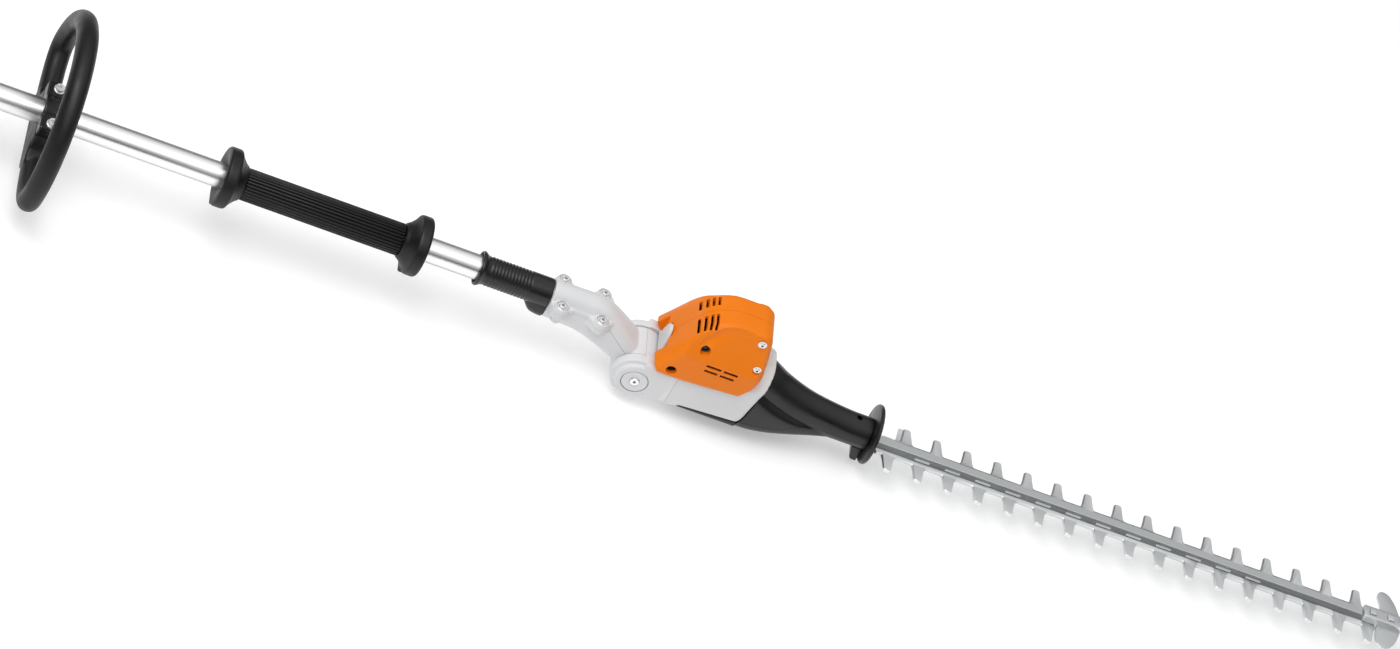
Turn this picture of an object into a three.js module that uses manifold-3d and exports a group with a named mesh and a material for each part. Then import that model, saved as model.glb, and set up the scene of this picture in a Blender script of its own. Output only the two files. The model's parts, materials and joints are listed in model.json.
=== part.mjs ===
// Cordless long-reach hedge trimmer: rear control unit, aluminium shaft, tilting cutter head.
// Millimetres. +X runs along the shaft to the blade tip, +Y is the left side, +Z is up.
// Pieces are drawn with the hinge axis through the origin; the outer group moves the whole tool
// so that the middle of its bottom is the origin.
import * as THREE from "three";
import { mergeVertices } from "three/addons/utils/BufferGeometryUtils.js";
import ManifoldModule from "manifold-3d";

const wasm = await ManifoldModule();
wasm.setup();
const { Manifold, Mesh } = wasm;

// ---- driving dimensions ----
const GAP = 0.3;
const ROUND = 18;

const SHAFT_Z = 42;
const TUBE_R = 12.7;
const TUBE_BORE_R = 11.1;
const TUBE_REAR_X = -856;
const CABLE_REAR_X = -1002;
const CABLE_R = 3.2;
const TUBE_FRONT_X = -62;
const SEAT_R = TUBE_R + GAP;

const LOOP_X = -634;
const LOOP_TURN = 10.6;
const LOOP_HALF_WIDTH = 97.5;
const LOOP_TOP = 94.5;
const LOOP_BASE = -32;
const LOOP_SECTION_R = 11.2;

const GRIP_REAR_X = -458;
const GRIP_FRONT_X = -244;
const GRIP_R = 16.3;
const FLANGE_R = 30.5;
const FLUTES = 30;

const SLEEVE_REAR_X = -187;
const SLEEVE_FRONT_X = -110.6;
const SLEEVE_RINGS = 7;

const BARREL_R = 25;
const BARREL_HALF = 19.5;
const EAR_HALF = 34;
const PIN_R = 8;
const PIN_BORE_R = 8.08;
const HUB_R = 14;

const HEAD_HALF = 34;
const MOTOR_X = 51;
const CRANK_X = 79;
const THROW = 5;
const STROKE = 5;
const ECCENTRIC_R = 10;
const STATOR_R = 21;
const PINION_TEETH = 6;
const GEAR_TEETH = 30;

const NECK_Z = 8;
const NECK_R = 16.5;
const NECK_FRONT_X = 246;
const GUARD_X = 246.4;
const GUARD_R = 31;
const GUARD_Z = 9;

const PITCH = 33;
const NEAR_TOOTH_X = 271.6;
const NEAR_TEETH = 17;
const FAR_TOOTH_X = 290;
const FAR_TEETH = 16;
const TOOTH_TIP = 32.5;
const BLADE_BODY = 12.5;
const BLADE_THICK = 2;
const UPPER_BLADE_Z = -0.6;
const LOWER_BLADE_Z = -2.9;
const BLADE_FRONT_X = 806;
const BAR_Z = 1.7;
const BAR_TOP_Z = 7;

const POST_X = 312;
const POST_PITCH = 95;
const POSTS = 6;
const BAR_SLOTS = 12;
const TIP_X = [791, 834];
const RIVET_X = [800.5, 820];
const PASSAGE = { half: 11.4, z0: -5.2, z1: 10.2 };

const SHELL_HALF = 21;
const CASE_HALF = 43;
const TRIGGER_HALF = 5.9;
const PIVOT_PIN_R = 1.64;

// ---- finishes ----
const ORANGE = { color: 0xf37d14, roughness: 0.42, metalness: 0 };
const GREY = { color: 0xd9dadb, roughness: 0.5, metalness: 0 };
const BLACK = { color: 0x232323, roughness: 0.55, metalness: 0 };
const RUBBER = { color: 0x1a1a1a, roughness: 0.85, metalness: 0 };
const TUBE = { color: 0xc9ccd0, roughness: 0.28, metalness: 0.9 };
const STEEL = { color: 0xb6babb, roughness: 0.35, metalness: 0.9 };
const BAR_STEEL = { color: 0x8f9494, roughness: 0.4, metalness: 0.85 };
const BRIGHT = { color: 0xd8dadc, roughness: 0.22, metalness: 1 };
const COPPER = { color: 0xb06a3a, roughness: 0.4, metalness: 0.8 };
const IRON = { color: 0x6b6e70, roughness: 0.5, metalness: 0.7 };
const BOARD = { color: 0x1f5a34, roughness: 0.6, metalness: 0 };
const NYLON = { color: 0xe9e6da, roughness: 0.5, metalness: 0 };

const tool = new THREE.Group();
tool.name = "hedge_trimmer";

// ---- turning three.js geometry into solids and back ----
function solid(geometry) {
  const bare = new THREE.BufferGeometry();
  const source = geometry.index ? geometry : mergeVertices(geometry, 1e-4);
  bare.setAttribute("position", source.attributes.position.clone());
  bare.setIndex(source.index.clone());
  const merged = mergeVertices(bare, 1e-4);
  const tris = [];
  const index = merged.index.array;
  for (let i = 0; i < index.length; i += 3) {
    const [a, b, c] = [index[i], index[i + 1], index[i + 2]];
    if (a !== b && b !== c && c !== a) tris.push(a, b, c);
  }
  const vertProperties = new Float32Array(merged.attributes.position.array);
  const body = new Manifold(new Mesh({ numProp: 3, vertProperties, triVerts: new Uint32Array(tris) }));
  if (body.volume() > 0) return body;
  const turned = new Uint32Array(tris).reverse();
  return new Manifold(new Mesh({ numProp: 3, vertProperties, triVerts: turned }));
}

function geometryOf(manifold) {
  const mesh = manifold.simplify(0.12).getMesh();
  const geometry = new THREE.BufferGeometry();
  geometry.setAttribute("position", new THREE.BufferAttribute(mesh.vertProperties, 3));
  geometry.setIndex(new THREE.BufferAttribute(mesh.triVerts, 1));
  geometry.computeVertexNormals();
  return geometry;
}

function add(name, manifold, finish) {
  const mesh = new THREE.Mesh(geometryOf(manifold), new THREE.MeshStandardMaterial(finish));
  mesh.name = name;
  tool.add(mesh);
}

function join(...parts) {
  return parts.reduce((whole, part) => whole.add(part));
}

function cut(body, ...tools) {
  return tools.reduce((rest, part) => rest.subtract(part), body);
}

// ---- shape helpers ----
function box(x0, x1, y0, y1, z0, z1) {
  const geometry = new THREE.BoxGeometry(x1 - x0, y1 - y0, z1 - z0);
  geometry.translate((x0 + x1) / 2, (y0 + y1) / 2, (z0 + z1) / 2);
  return solid(geometry);
}

function rodX(r, x0, x1, y = 0, z = 0, segments = ROUND) {
  const geometry = new THREE.CylinderGeometry(r, r, x1 - x0, segments);
  geometry.rotateZ(-Math.PI / 2);
  geometry.translate((x0 + x1) / 2, y, z);
  return solid(geometry);
}

function rodY(r, y0, y1, x = 0, z = 0, segments = ROUND) {
  const geometry = new THREE.CylinderGeometry(r, r, y1 - y0, segments);
  geometry.translate(x, (y0 + y1) / 2, z);
  return solid(geometry);
}

function rodZ(r, z0, z1, x = 0, y = 0, segments = ROUND) {
  const geometry = new THREE.CylinderGeometry(r, r, z1 - z0, segments);
  geometry.rotateX(Math.PI / 2);
  geometry.translate(x, y, (z0 + z1) / 2);
  return solid(geometry);
}

// Profile of [x, radius] pairs turned about the X axis, then moved to height z.
function turnedX(profile, z, segments = ROUND) {
  const points = profile.map(([x, r]) => new THREE.Vector2(r, x));
  const geometry = new THREE.LatheGeometry(points, segments);
  geometry.rotateZ(-Math.PI / 2);
  geometry.translate(0, 0, z);
  return solid(geometry);
}

function shapeOf(points) {
  return new THREE.Shape(points.map(([u, v]) => new THREE.Vector2(u, v)));
}

// Outline in X and Z, drawn out along Y; bevel rounds the two end faces inwards and inset
// draws the whole outline in.
function slabY(points, y0, y1, bevel = 0, bevelDepth = bevel, bevelSteps = 2, inset = 0) {
  const geometry = new THREE.ExtrudeGeometry(shapeOf(points), {
    depth: y1 - y0 - 2 * bevelDepth,
    bevelEnabled: bevel > 0,
    bevelThickness: bevelDepth,
    bevelSize: bevel,
    bevelOffset: -bevel - inset,
    bevelSegments: bevelSteps,
    curveSegments: 8,
  });
  geometry.rotateX(Math.PI / 2);
  geometry.translate(0, y1 - bevelDepth, 0);
  return solid(geometry);
}

// Outline in X and Y, drawn out along Z.
function slabZ(points, z0, z1, bevel = 0) {
  const geometry = new THREE.ExtrudeGeometry(shapeOf(points), {
    depth: z1 - z0 - 2 * bevel,
    bevelEnabled: bevel > 0,
    bevelThickness: bevel,
    bevelSize: bevel,
    bevelOffset: -bevel,
    bevelSegments: 1,
  });
  geometry.translate(0, 0, z0 + bevel);
  return solid(geometry);
}

// Outline in Y and Z, drawn out along X.
function slabX(points, x0, x1, bevel = 0) {
  const geometry = new THREE.ExtrudeGeometry(shapeOf(points), {
    depth: x1 - x0 - 2 * bevel,
    bevelEnabled: bevel > 0,
    bevelThickness: bevel,
    bevelSize: bevel,
    bevelOffset: -bevel,
    bevelSegments: 1,
  });
  geometry.rotateX(Math.PI / 2);
  geometry.rotateZ(Math.PI / 2);
  geometry.translate(x0 + bevel, 0, 0);
  return solid(geometry);
}

// Rounded body through stations of {x, w, top, bottom, n}: w is the half width, n the squareness.
function loftX(stations, segments = ROUND) {
  const rows = stations.length - 1;
  const geometry = new THREE.CylinderGeometry(1, 1, rows, segments, rows);
  const position = geometry.attributes.position;
  for (let i = 0; i < position.count; i += 1) {
    const station = stations[Math.round(position.getY(i) + rows / 2)];
    const radius = Math.min(1, Math.hypot(position.getX(i), position.getZ(i)));
    const turn = Math.atan2(position.getX(i), position.getZ(i));
    const c = Math.cos(turn);
    const s = Math.sin(turn);
    const power = 2 / station.n;
    const u = Math.sign(c) * Math.abs(c) ** power * station.w * radius;
    const v = Math.sign(s) * Math.abs(s) ** power * radius;
    const middle = (station.top + station.bottom) / 2;
    const half = (station.top - station.bottom) / 2;
    position.setXYZ(i, station.x, u, middle + v * half);
  }
  return solid(geometry);
}

// Coil spring along X.
function coilX(radius, wire, x0, x1, turns, y, z) {
  const points = [];
  const steps = turns * 8;
  for (let i = 0; i <= steps; i += 1) {
    const turn = (i / 8) * 2 * Math.PI;
    const x = x0 + ((x1 - x0) * i) / steps;
    points.push(new THREE.Vector3(x, y + radius * Math.cos(turn), z + radius * Math.sin(turn)));
  }
  return sweep(points, wire, 4, steps);
}

// Round bar swept through points.
function sweep(points, r, sides, steps) {
  const path = new THREE.CatmullRomCurve3(points, false, "centripetal");
  const section = new THREE.Shape();
  for (let i = 0; i < sides; i += 1) {
    const turn = (i / sides) * 2 * Math.PI;
    const step = [r * Math.cos(turn), r * Math.sin(turn)];
    if (i === 0) section.moveTo(...step);
    else section.lineTo(...step);
  }
  const geometry = new THREE.ExtrudeGeometry(section, {
    steps,
    bevelEnabled: false,
    extrudePath: path,
  });
  return solid(geometry);
}

// ---- shaft and its cable ----
function buildShaft() {
  const outer = rodX(TUBE_R, TUBE_REAR_X, TUBE_FRONT_X, 0, SHAFT_Z, 32);
  const bore = rodX(TUBE_BORE_R, TUBE_REAR_X - 1, TUBE_FRONT_X + 1, 0, SHAFT_Z, 24);
  add("shaft_tube", cut(outer, bore), TUBE);
  add("power_cable", rodX(CABLE_R, CABLE_REAR_X, TUBE_FRONT_X - 4, 0, SHAFT_Z, 10), RUBBER);
}

// ---- loop handle, clamped on the shaft ----
function onLoop(manifold) {
  return manifold.rotate([LOOP_TURN, 0, 0]).translate([LOOP_X, 0, SHAFT_Z]);
}

function loopPoint(turn) {
  const c = Math.cos(turn);
  const s = Math.sin(turn);
  const power = s >= 0 ? 1.03 : 0.64;
  const reach = s >= 0 ? LOOP_TOP : -LOOP_BASE;
  const y = LOOP_HALF_WIDTH * Math.sign(c) * Math.abs(c) ** power;
  const z = reach * Math.sign(s) * Math.abs(s) ** power;
  return new THREE.Vector3(0, y, z);
}

function buildLoop() {
  const arc = [];
  const count = 34;
  for (let i = 0; i <= count; i += 1) {
    const turn = -Math.PI / 2 + 0.18 + (i / count) * (2 * Math.PI - 0.36);
    arc.push(loopPoint(turn));
  }
  const ring = sweep(arc, LOOP_SECTION_R, 8, 32);
  const base = slabX(
    [[-44, -41], [44, -41], [46, -24], [31, -17], [29, -GAP], [-29, -GAP], [-31, -17], [-46, -24]],
    -11, 11, 1.5,
  );
  const seat = rodX(SEAT_R, -20, 20);
  const holes = [-21, 21].map((y) => rodZ(2.6, -16, 5, 0, y, 8));
  add("loop_handle", onLoop(cut(join(ring, base), seat, ...holes)), RUBBER);

  const arch = rodX(18, -11, 11).subtract(box(-20, 20, -40, 40, -40, GAP));
  const pads = slabX([[-29, GAP], [29, GAP], [29, 11], [26.5, 13.5], [-26.5, 13.5], [-29, 11]], -11, 11);
  const capHoles = [-21, 21].map((y) => rodZ(2.6, -1, 30, 0, y, 8));
  const relief = [-21, 21].map((y) => rodZ(6.2, 13.5, 30, 0, y, 12));
  add("loop_clamp_cap", onLoop(cut(join(pads, arch), seat, ...capHoles, ...relief)), BLACK);

  [["loop_screw_right", -21], ["loop_screw_left", 21]].forEach(([name, y]) => {
    const head = join(rodZ(5.6, 13.8, 15, 0, y, 12), rodZ(4.6, 14.5, 18.5, 0, y, 12));
    const socket = rodZ(1.9, 16.4, 20, 0, y, 6);
    add(name, onLoop(cut(join(head, rodZ(2.2, -14, 14.5, 0, y, 8)), socket)), BRIGHT);
  });
}

// ---- fluted grip between two flanges ----
function buildGrip() {
  const flutes = [];
  for (let i = 0; i < FLUTES * 2; i += 1) {
    const r = i % 2 ? GRIP_R : GRIP_R - 1.1;
    const turn = (i / (FLUTES * 2)) * 2 * Math.PI;
    flutes.push([r * Math.cos(turn), SHAFT_Z + r * Math.sin(turn)]);
  }
  const bore = rodX(SEAT_R, -600, -100, 0, SHAFT_Z);
  const bar = slabX(flutes, -433.7, -268.3);
  add("grip_sleeve", cut(bar, bore), RUBBER);

  const foot = (x0, x1) => slabX(
    [[-15, SHAFT_Z - 31.5], [15, SHAFT_Z - 31.5], [19, SHAFT_Z - 21], [-19, SHAFT_Z - 21]], x0, x1, 1,
  );
  const rear = turnedX([
    [-434, 0], [-434, 17.2], [-438, 18.4], [-444, 25.5], [-446, 29], [-450, FLANGE_R], [-455, 29.6],
    [GRIP_REAR_X, 26], [-457, 20], [-454, 15], [-454, 0],
  ].reverse(), SHAFT_Z);
  add("grip_rear_flange", cut(join(rear, foot(-456.5, -444)), bore), RUBBER);

  const front = turnedX([
    [-268, 0], [-268, 17.2], [-262, 20], [-256, 27.5], [-252, 29.8], [-248, FLANGE_R], [-245, 29],
    [GRIP_FRONT_X, 25], [-246.5, 16], [-246.5, 0],
  ], SHAFT_Z);
  add("grip_front_flange", cut(join(front, foot(-259, -245.5)), bore), RUBBER);
}

// ---- unlocking sleeve, sliding on the shaft ----
function buildSleeve() {
  const outline = [[SLEEVE_REAR_X, 0], [SLEEVE_REAR_X, 17.6], [-184, 17.8], [-181, 15.4], [-176.5, 14.4]];
  const span = 42 / SLEEVE_RINGS;
  for (let i = 0; i < SLEEVE_RINGS; i += 1) {
    outline.push([-176 + i * span, 15]);
    outline.push([-176 + (i + 0.55) * span, 14.1]);
  }
  outline.push([-133.5, 15], [SLEEVE_FRONT_X, 15], [SLEEVE_FRONT_X, 0]);
  const body = turnedX(outline.reverse(), SHAFT_Z, 14);
  const chin = loftX([
    { x: -132, w: 9, top: SHAFT_Z - 4, bottom: SHAFT_Z - 14.5, n: 2.2 },
    { x: -125, w: 13, top: SHAFT_Z, bottom: 18, n: 2.4 },
    { x: SLEEVE_FRONT_X, w: 14.5, top: SHAFT_Z, bottom: 15.5, n: 2.4 },
  ], 16);
  const tongue = box(-116, -99.5, -3, 3, 18.4, 23);
  const bore = rodX(TUBE_R + 0.4, -200, -105, 0, SHAFT_Z, 24);
  const flare = turnedX([[-188, 0], [-188, 16.2], [-182, 13], [-182, 0]].reverse(), SHAFT_Z, 18);
  add("sliding_sleeve", cut(join(body, chin, tongue), bore, flare), BLACK);
}

// ---- bracket between shaft and hinge, in two halves ----
const SCREW_X = [-98.5, -56];
const SCREW_Y = 19;
const SCREW_HEAD_R = 5;
const LATCH_SLOPE = 14;
const LATCH_WAY_R = 3.2;
const SPRING_WAY_R = 4.8;

function latchRod(r, from, to, segments) {
  return rodX(r, -to, -from, 0, 0, segments).rotate([0, LATCH_SLOPE, 0]);
}

function bracketBody() {
  const near = [
    [-109.6, -16.5], [-106, -24], [-100, -26.5], [-94, -25.5], [-88.5, -20.5], [-85, -16.5], [-69, -16.5],
    [-65, -21], [-60, -26], [-53.5, -26.5], [-48, -22.5], [-44, -16.5],
  ];
  const far = near.map(([x, y]) => [x, -y]).reverse();
  const flange = slabZ([...near, ...far], 34.5, 46, 1);
  const arm = loftX([
    { x: -110, w: 16, top: 58, bottom: 15.5, n: 2.1 },
    { x: -92, w: 16.2, top: 58, bottom: 14, n: 2.1 },
    { x: -74, w: 16.5, top: 58, bottom: 12.8, n: 2.15 },
    { x: -62, w: 17, top: 57.4, bottom: 9.8, n: 2.3 },
    { x: -50, w: 17.3, top: 54, bottom: 6.2, n: 2.6 },
    { x: -38, w: 17.8, top: 47, bottom: 1.5, n: 2.8 },
    { x: -28, w: 18.5, top: 39.5, bottom: -2, n: 3.2 },
    { x: -9, w: 19.3, top: 24.5, bottom: -12, n: 4 },
  ], 22);
  const barrel = slabY(circle(BARREL_R, 28), -BARREL_HALF, BARREL_HALF, 1, 1, 1);
  const bosses = [];
  SCREW_X.forEach((x) => {
    [-SCREW_Y, SCREW_Y].forEach((y) => {
      bosses.push(rodZ(7.2, 44, 47.4, x, y, 12));
      if (x < -70) bosses.push(rodZ(5.2, 27.5, 40, x, y, 10));
    });
  });
  return join(arm, flange, barrel, ...bosses);
}

function circle(r, count, x = 0, z = 0) {
  const points = [];
  for (let i = 0; i < count; i += 1) {
    const turn = (i / count) * 2 * Math.PI;
    points.push([x + r * Math.cos(turn), z + r * Math.sin(turn)]);
  }
  return points;
}

function buildBracket() {
  const seat = rodX(SEAT_R, -140, TUBE_FRONT_X + GAP, 0, SHAFT_Z, 20);
  const cableWay = loftX([
    { x: -63, w: 9, top: 52, bottom: 34, n: 2 },
    { x: -30, w: 7, top: 24, bottom: 16, n: 2 },
    { x: -12, w: 6, top: 13, bottom: 5, n: 2 },
  ], 12);
  const holes = [];
  SCREW_X.forEach((x) => {
    [-SCREW_Y, SCREW_Y].forEach((y) => holes.push(rodZ(2.6, 31, 60, x, y, 8)));
  });
  const rodWay = latchRod(LATCH_WAY_R, 14.5, 106, 10);
  const springWay = latchRod(SPRING_WAY_R, 58.5, 84, 10);
  const tongueWay = box(-112, -86, -3.4, 3.4, 17.9, 25.4);
  const whole = cut(
    bracketBody(), seat, cableWay, ...holes, rodWay, springWay, tongueWay,
    rodY(PIN_BORE_R, -30, 30, 0, 0, 32),
    rodY(HUB_R + 0.5, -6.4, 6.4, 0, 0, 24),
  );
  const line = [[-112, SHAFT_Z], [-50, SHAFT_Z], [-31, 27.5], [0, 3]];
  const above = slabY([...line, [0, 80], [-112, 80]], -40, 40);
  const gap = above.add(slabY(
    [[-113, SHAFT_Z - GAP], [-50.2, SHAFT_Z - GAP], [-31.2, 27.2], [-0.2, 2.6], [GAP, 2.6], [GAP, 80],
      [-113, 80]],
    -40, 40,
  ));
  const headSeats = [];
  SCREW_X.forEach((x) => {
    [-SCREW_Y, SCREW_Y].forEach((y) => headSeats.push(rodZ(SCREW_HEAD_R + 0.4, 47.4, 60, x, y, 14)));
  });
  const upper = cut(whole.intersect(above), ...headSeats);
  const lower = whole.subtract(gap);
  add("bracket_upper", largest(upper), GREY);
  add("bracket_lower", largest(lower), GREY);

  const names = ["rear_right", "rear_left", "front_right", "front_left"];
  let n = 0;
  SCREW_X.forEach((x) => {
    [-SCREW_Y, SCREW_Y].forEach((y) => {
      const head = solid(new THREE.CylinderGeometry(3.2, SCREW_HEAD_R, 3, 14).rotateX(Math.PI / 2)
        .translate(x, y, 49.2));
      const socket = rodZ(1.6, 49.4, 52, x, y, 6);
      const shank = rodZ(2.2, 31.5, 48.2, x, y, 8);
      add(`bracket_screw_${names[n]}`, cut(join(head, shank), socket), BRIGHT);
      n += 1;
    });
  });

  const rod = join(latchRod(2.6, 14.8, 97, 10), latchRod(3.2, 60, 61.6, 10));
  add("tilt_latch_rod", rod, STEEL);
  const spring = coilX(3.95, 0.4, -82.6, -63.6, 5, 0, 0).rotate([0, LATCH_SLOPE, 0]);
  add("tilt_latch_spring", spring, BRIGHT);
}

// The main body of a cut piece, without loose slivers.
function largest(manifold) {
  const bodies = solid(geometryOf(manifold)).decompose();
  return bodies.sort((a, b) => b.volume() - a.volume())[0];
}

// ---- hinge: pin with a notched hub, bolt, cap, fork ----
function buildHinge() {
  const notches = [];
  for (let i = 0; i < 11; i += 1) {
    const turn = ((i * 11.5 - 14 - 46) * Math.PI) / 180;
    const [x, z] = [-HUB_R * Math.cos(turn), HUB_R * Math.sin(-turn)];
    notches.push(rodY(1.6, -8, 8, x, z, 4));
  }
  const hub = join(rodY(HUB_R, -5.9, 5.9, 0, 0, 24), rodY(PIN_R, -31.2, 31.2, 0, 0, 32));
  add("hinge_pin", largest(cut(hub, rodY(3.4, -40, 40, 0, 0, 10), ...notches)), STEEL);

  const boltHead = cut(
    join(rodY(4.6, -34.6, -32.1, 0, 0, 14), rodY(3, -32.2, 33, 0, 0, 10)),
    rodY(2.3, -36, -33.2, 0, 0, 6),
  );
  add("hinge_bolt", boltHead, BRIGHT);
  const cap = slabY(circle(13.4, 24), -33.9, -31.5, 0.6, 0.6, 1);
  add("hinge_cap", cut(cap, rodY(5, -40, -31, 0, 0, 14)), GREY);

  const ears = join(
    slabY(circle(BARREL_R, 28), -29, 29, 1.5, 1.5, 1),
    slabY(circle(19, 24), -EAR_HALF, EAR_HALF, 2, 2, 1),
  );
  const body = slabY([[3, -17.5], [12, -16.5], [37, -15.2], [37, 26.3], [3, 26.3]],
    -HEAD_HALF, HEAD_HALF, 4, 4, 2);
  const keepBody = box(2, 37, -40, 40, -40, 26.3);
  const tongue = slabX([
    [-16, 20], [16, 20], [15, 30], [12.5, 41], [8, 50.5], [3, 56], [-3, 56], [-8, 50.5], [-12.5, 41],
    [-15, 30],
  ], 12, 15.6, 0.8);
  const swing = rodY(BARREL_R + 1, -BARREL_HALF - 0.4, BARREL_HALF + 0.4, 0, 0, 28);
  const armSweep = slabY(
    [[0, 0], [11.7, 24], [11.7, 40], [11.7, 60], [-70, 60], [-70, -40], [-30, -30]],
    -25.4, 25.4,
  ).subtract(rodY(24, -50, 50));
  const armSlot = armSweep.intersect(box(-80, 80, -BARREL_HALF - 0.4, BARREL_HALF + 0.4, -80, 80));
  const mouth = box(20, 40, -26, 26, -10, 18);
  const pinHoles = rodY(PIN_R + GAP, -31.4, 31.4, 0, 0, 20);
  const capSeat = rodY(13.9, -40, -31.2, 0, 0, 24);
  const boltHole = rodY(3.4, -33.4, 33.3, 0, 0, 10);
  const fork = cut(
    join(ears, body.intersect(keepBody), tongue), swing, armSlot, mouth, pinHoles, capSeat, boltHole,
  );
  add("hinge_fork", largest(fork), GREY);
}

// ---- gear housing and underside cover ----
function buildGearHousing() {
  const outline = [
    [37.3, -15.2], [50.2, -14.6], [51.6, -11.6], [112, -7.2], [115.2, -1], [120, 33], [125, 57],
    [122.6, 69], [118, 73], [112.9, 72], [110.7, 60], [105.2, 43.6], [97.5, 31.2], [37.3, 26.3],
  ];
  const wide = slabY(outline, -HEAD_HALF, HEAD_HALF, 4, 4, 2);
  const trimEnds = slabY([
    [37.3, -15.2], [50.2, -14.6], [51.6, -11.6], [112, -7.2], [130, -7], [130, 80], [30, 80], [37.3, 26.3],
  ], -40, 40);
  const shoulder = slabX([
    [-40, -40], [40, -40], [40, 30], [34, 40], [24, 48], [10, 57], [-10, 57], [-24, 48], [-34, 40], [-40, 30],
  ], 30, 130);
  const rearBlock = box(37.3, 46, -HEAD_HALF, HEAD_HALF, -15, 26.2);
  const rearEdge = slabY([[37.3, -15.2], [46, -14.8], [46, 26.8], [37.3, 26.3]],
    -HEAD_HALF, HEAD_HALF, 0);
  const rounded = slabY([[20, -15.9], [60, -14.2], [60, 27.7], [20, 25.2]], -HEAD_HALF, HEAD_HALF, 4, 4, 2);
  const rear = rearBlock.intersect(rearEdge).intersect(rounded);
  const outer = join(wide.intersect(trimEnds).intersect(shoulder), rear);
  const chamber = join(
    box(41, 111, -30.5, 30.5, -6, 20),
    box(54, 108, -27, 27, -20, 0),
    box(100, 135, -12, 12, -5.4, 10.4),
  );
  const rearWindow = box(30, 42, -20, 20, -6, 14);
  const bearingSeat = rodZ(11.3, 19, 26.4, CRANK_X, 0, 20);
  const shaftHole = rodZ(6.2, 15, 40, MOTOR_X, 0, 16);
  add("gear_housing", largest(cut(outer, chamber, rearWindow, bearingSeat, shaftHole)), GREY);

  const strip = slabY([
    [50.6, -17.6], [54, -19.5], [112, -17.5], [112.4, -7.6], [51.9, -11.95], [50.6, -14.9],
  ], -32, 32);
  const stripRound = slabX([[-32, -7], [-32, -13], [-26, -19.5], [26, -19.5], [32, -13], [32, -7]], 40, 130);
  add("underside_cover", strip.intersect(stripRound), BLACK);
}

// ---- orange motor cover, two halves ----
const VENT_PITCH = 4.5;
const VENT_WIDTH = 2.6;
const COVER_SCREWS = [
  { name: "middle", x: 45.5, z: 69, recess: 5.4, seat: -22.8 },
  { name: "rear", x: 24.5, z: 34.5, recess: 5.4, seat: -20 },
  { name: "front_upper", x: 94.6, z: 95, recess: 4.7, seat: -24 },
  { name: "front_lower", x: 101.2, z: 68, recess: 4.7, seat: -31.5 },
];

const COVER_TOP = [
  [-2, 20], [7, 33], [16.3, 52.4], [24.7, 65.6], [32.7, 82], [38, 90], [44.9, 96.2], [60.7, 103.6],
  [70, 104.6],
  [94, 104.4], [101, 102], [104.6, 97], [110, 74], [116, 48],
];

const COVER_SIDE = [
  [-20, -40], [-6, 16], [8, 38.5], [35, 86.5], [60, 103.4], [99, 104], [124, 20], [140, -40],
];

function coverBody(inset) {
  const drawn = [...COVER_TOP, [130, -20], [-2, -20]].reverse();
  const half = 37.5 - inset;
  const body = slabY([...COVER_SIDE].reverse(), -half, half, 11, 15, 2, inset);
  const band = slabY(drawn, -20.5 + inset, 20.5 - inset, 1.2, 1.2, 1, inset);
  return cut(join(body, band), ...scoops(inset));
}

// What is taken off each shoulder: a slope up the side and a pocket under the top band.
function scoops(inset) {
  const i = inset;
  const slope = slabX([
    [-60, 56 - i], [-37.5 + i, 56 - i], [-32 + i, 68 - i], [-26 + i, 80 - i], [-21.5 + i, 92 - i],
    [-20.6 + i, 112], [-60, 112],
  ], -20, 140);
  const reach = slabZ([[20, -60], [96, -60], [96, -31 + i], [52, -22.5 + i], [20, -22.5 + i]], 60, 120);
  const above = slabY([[36, 70.5 - i], [86, 99.5 - i], [86, 120], [26, 120], [33, 80 - i]], -60, 0);
  const near = join(slope, reach.intersect(above));
  return [near, near.mirror([0, 1, 0])];
}

function coverRegion(inset) {
  const i = inset;
  return slabY([
    [-6 + i, 52], [7.5 + i, 32.5], [12.2 + i, 26.6 + i], [37, 26.6 + i], [97.2 - i, 31.5 + i],
    [104.8 - i, 43.7 + i],
    [110.4 - i, 60.2], [112.5 - i, 72.4], [113.5 - i, 80], [113.5 - i, 120], [-6 + i, 120],
  ], -50, 50);
}

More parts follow.
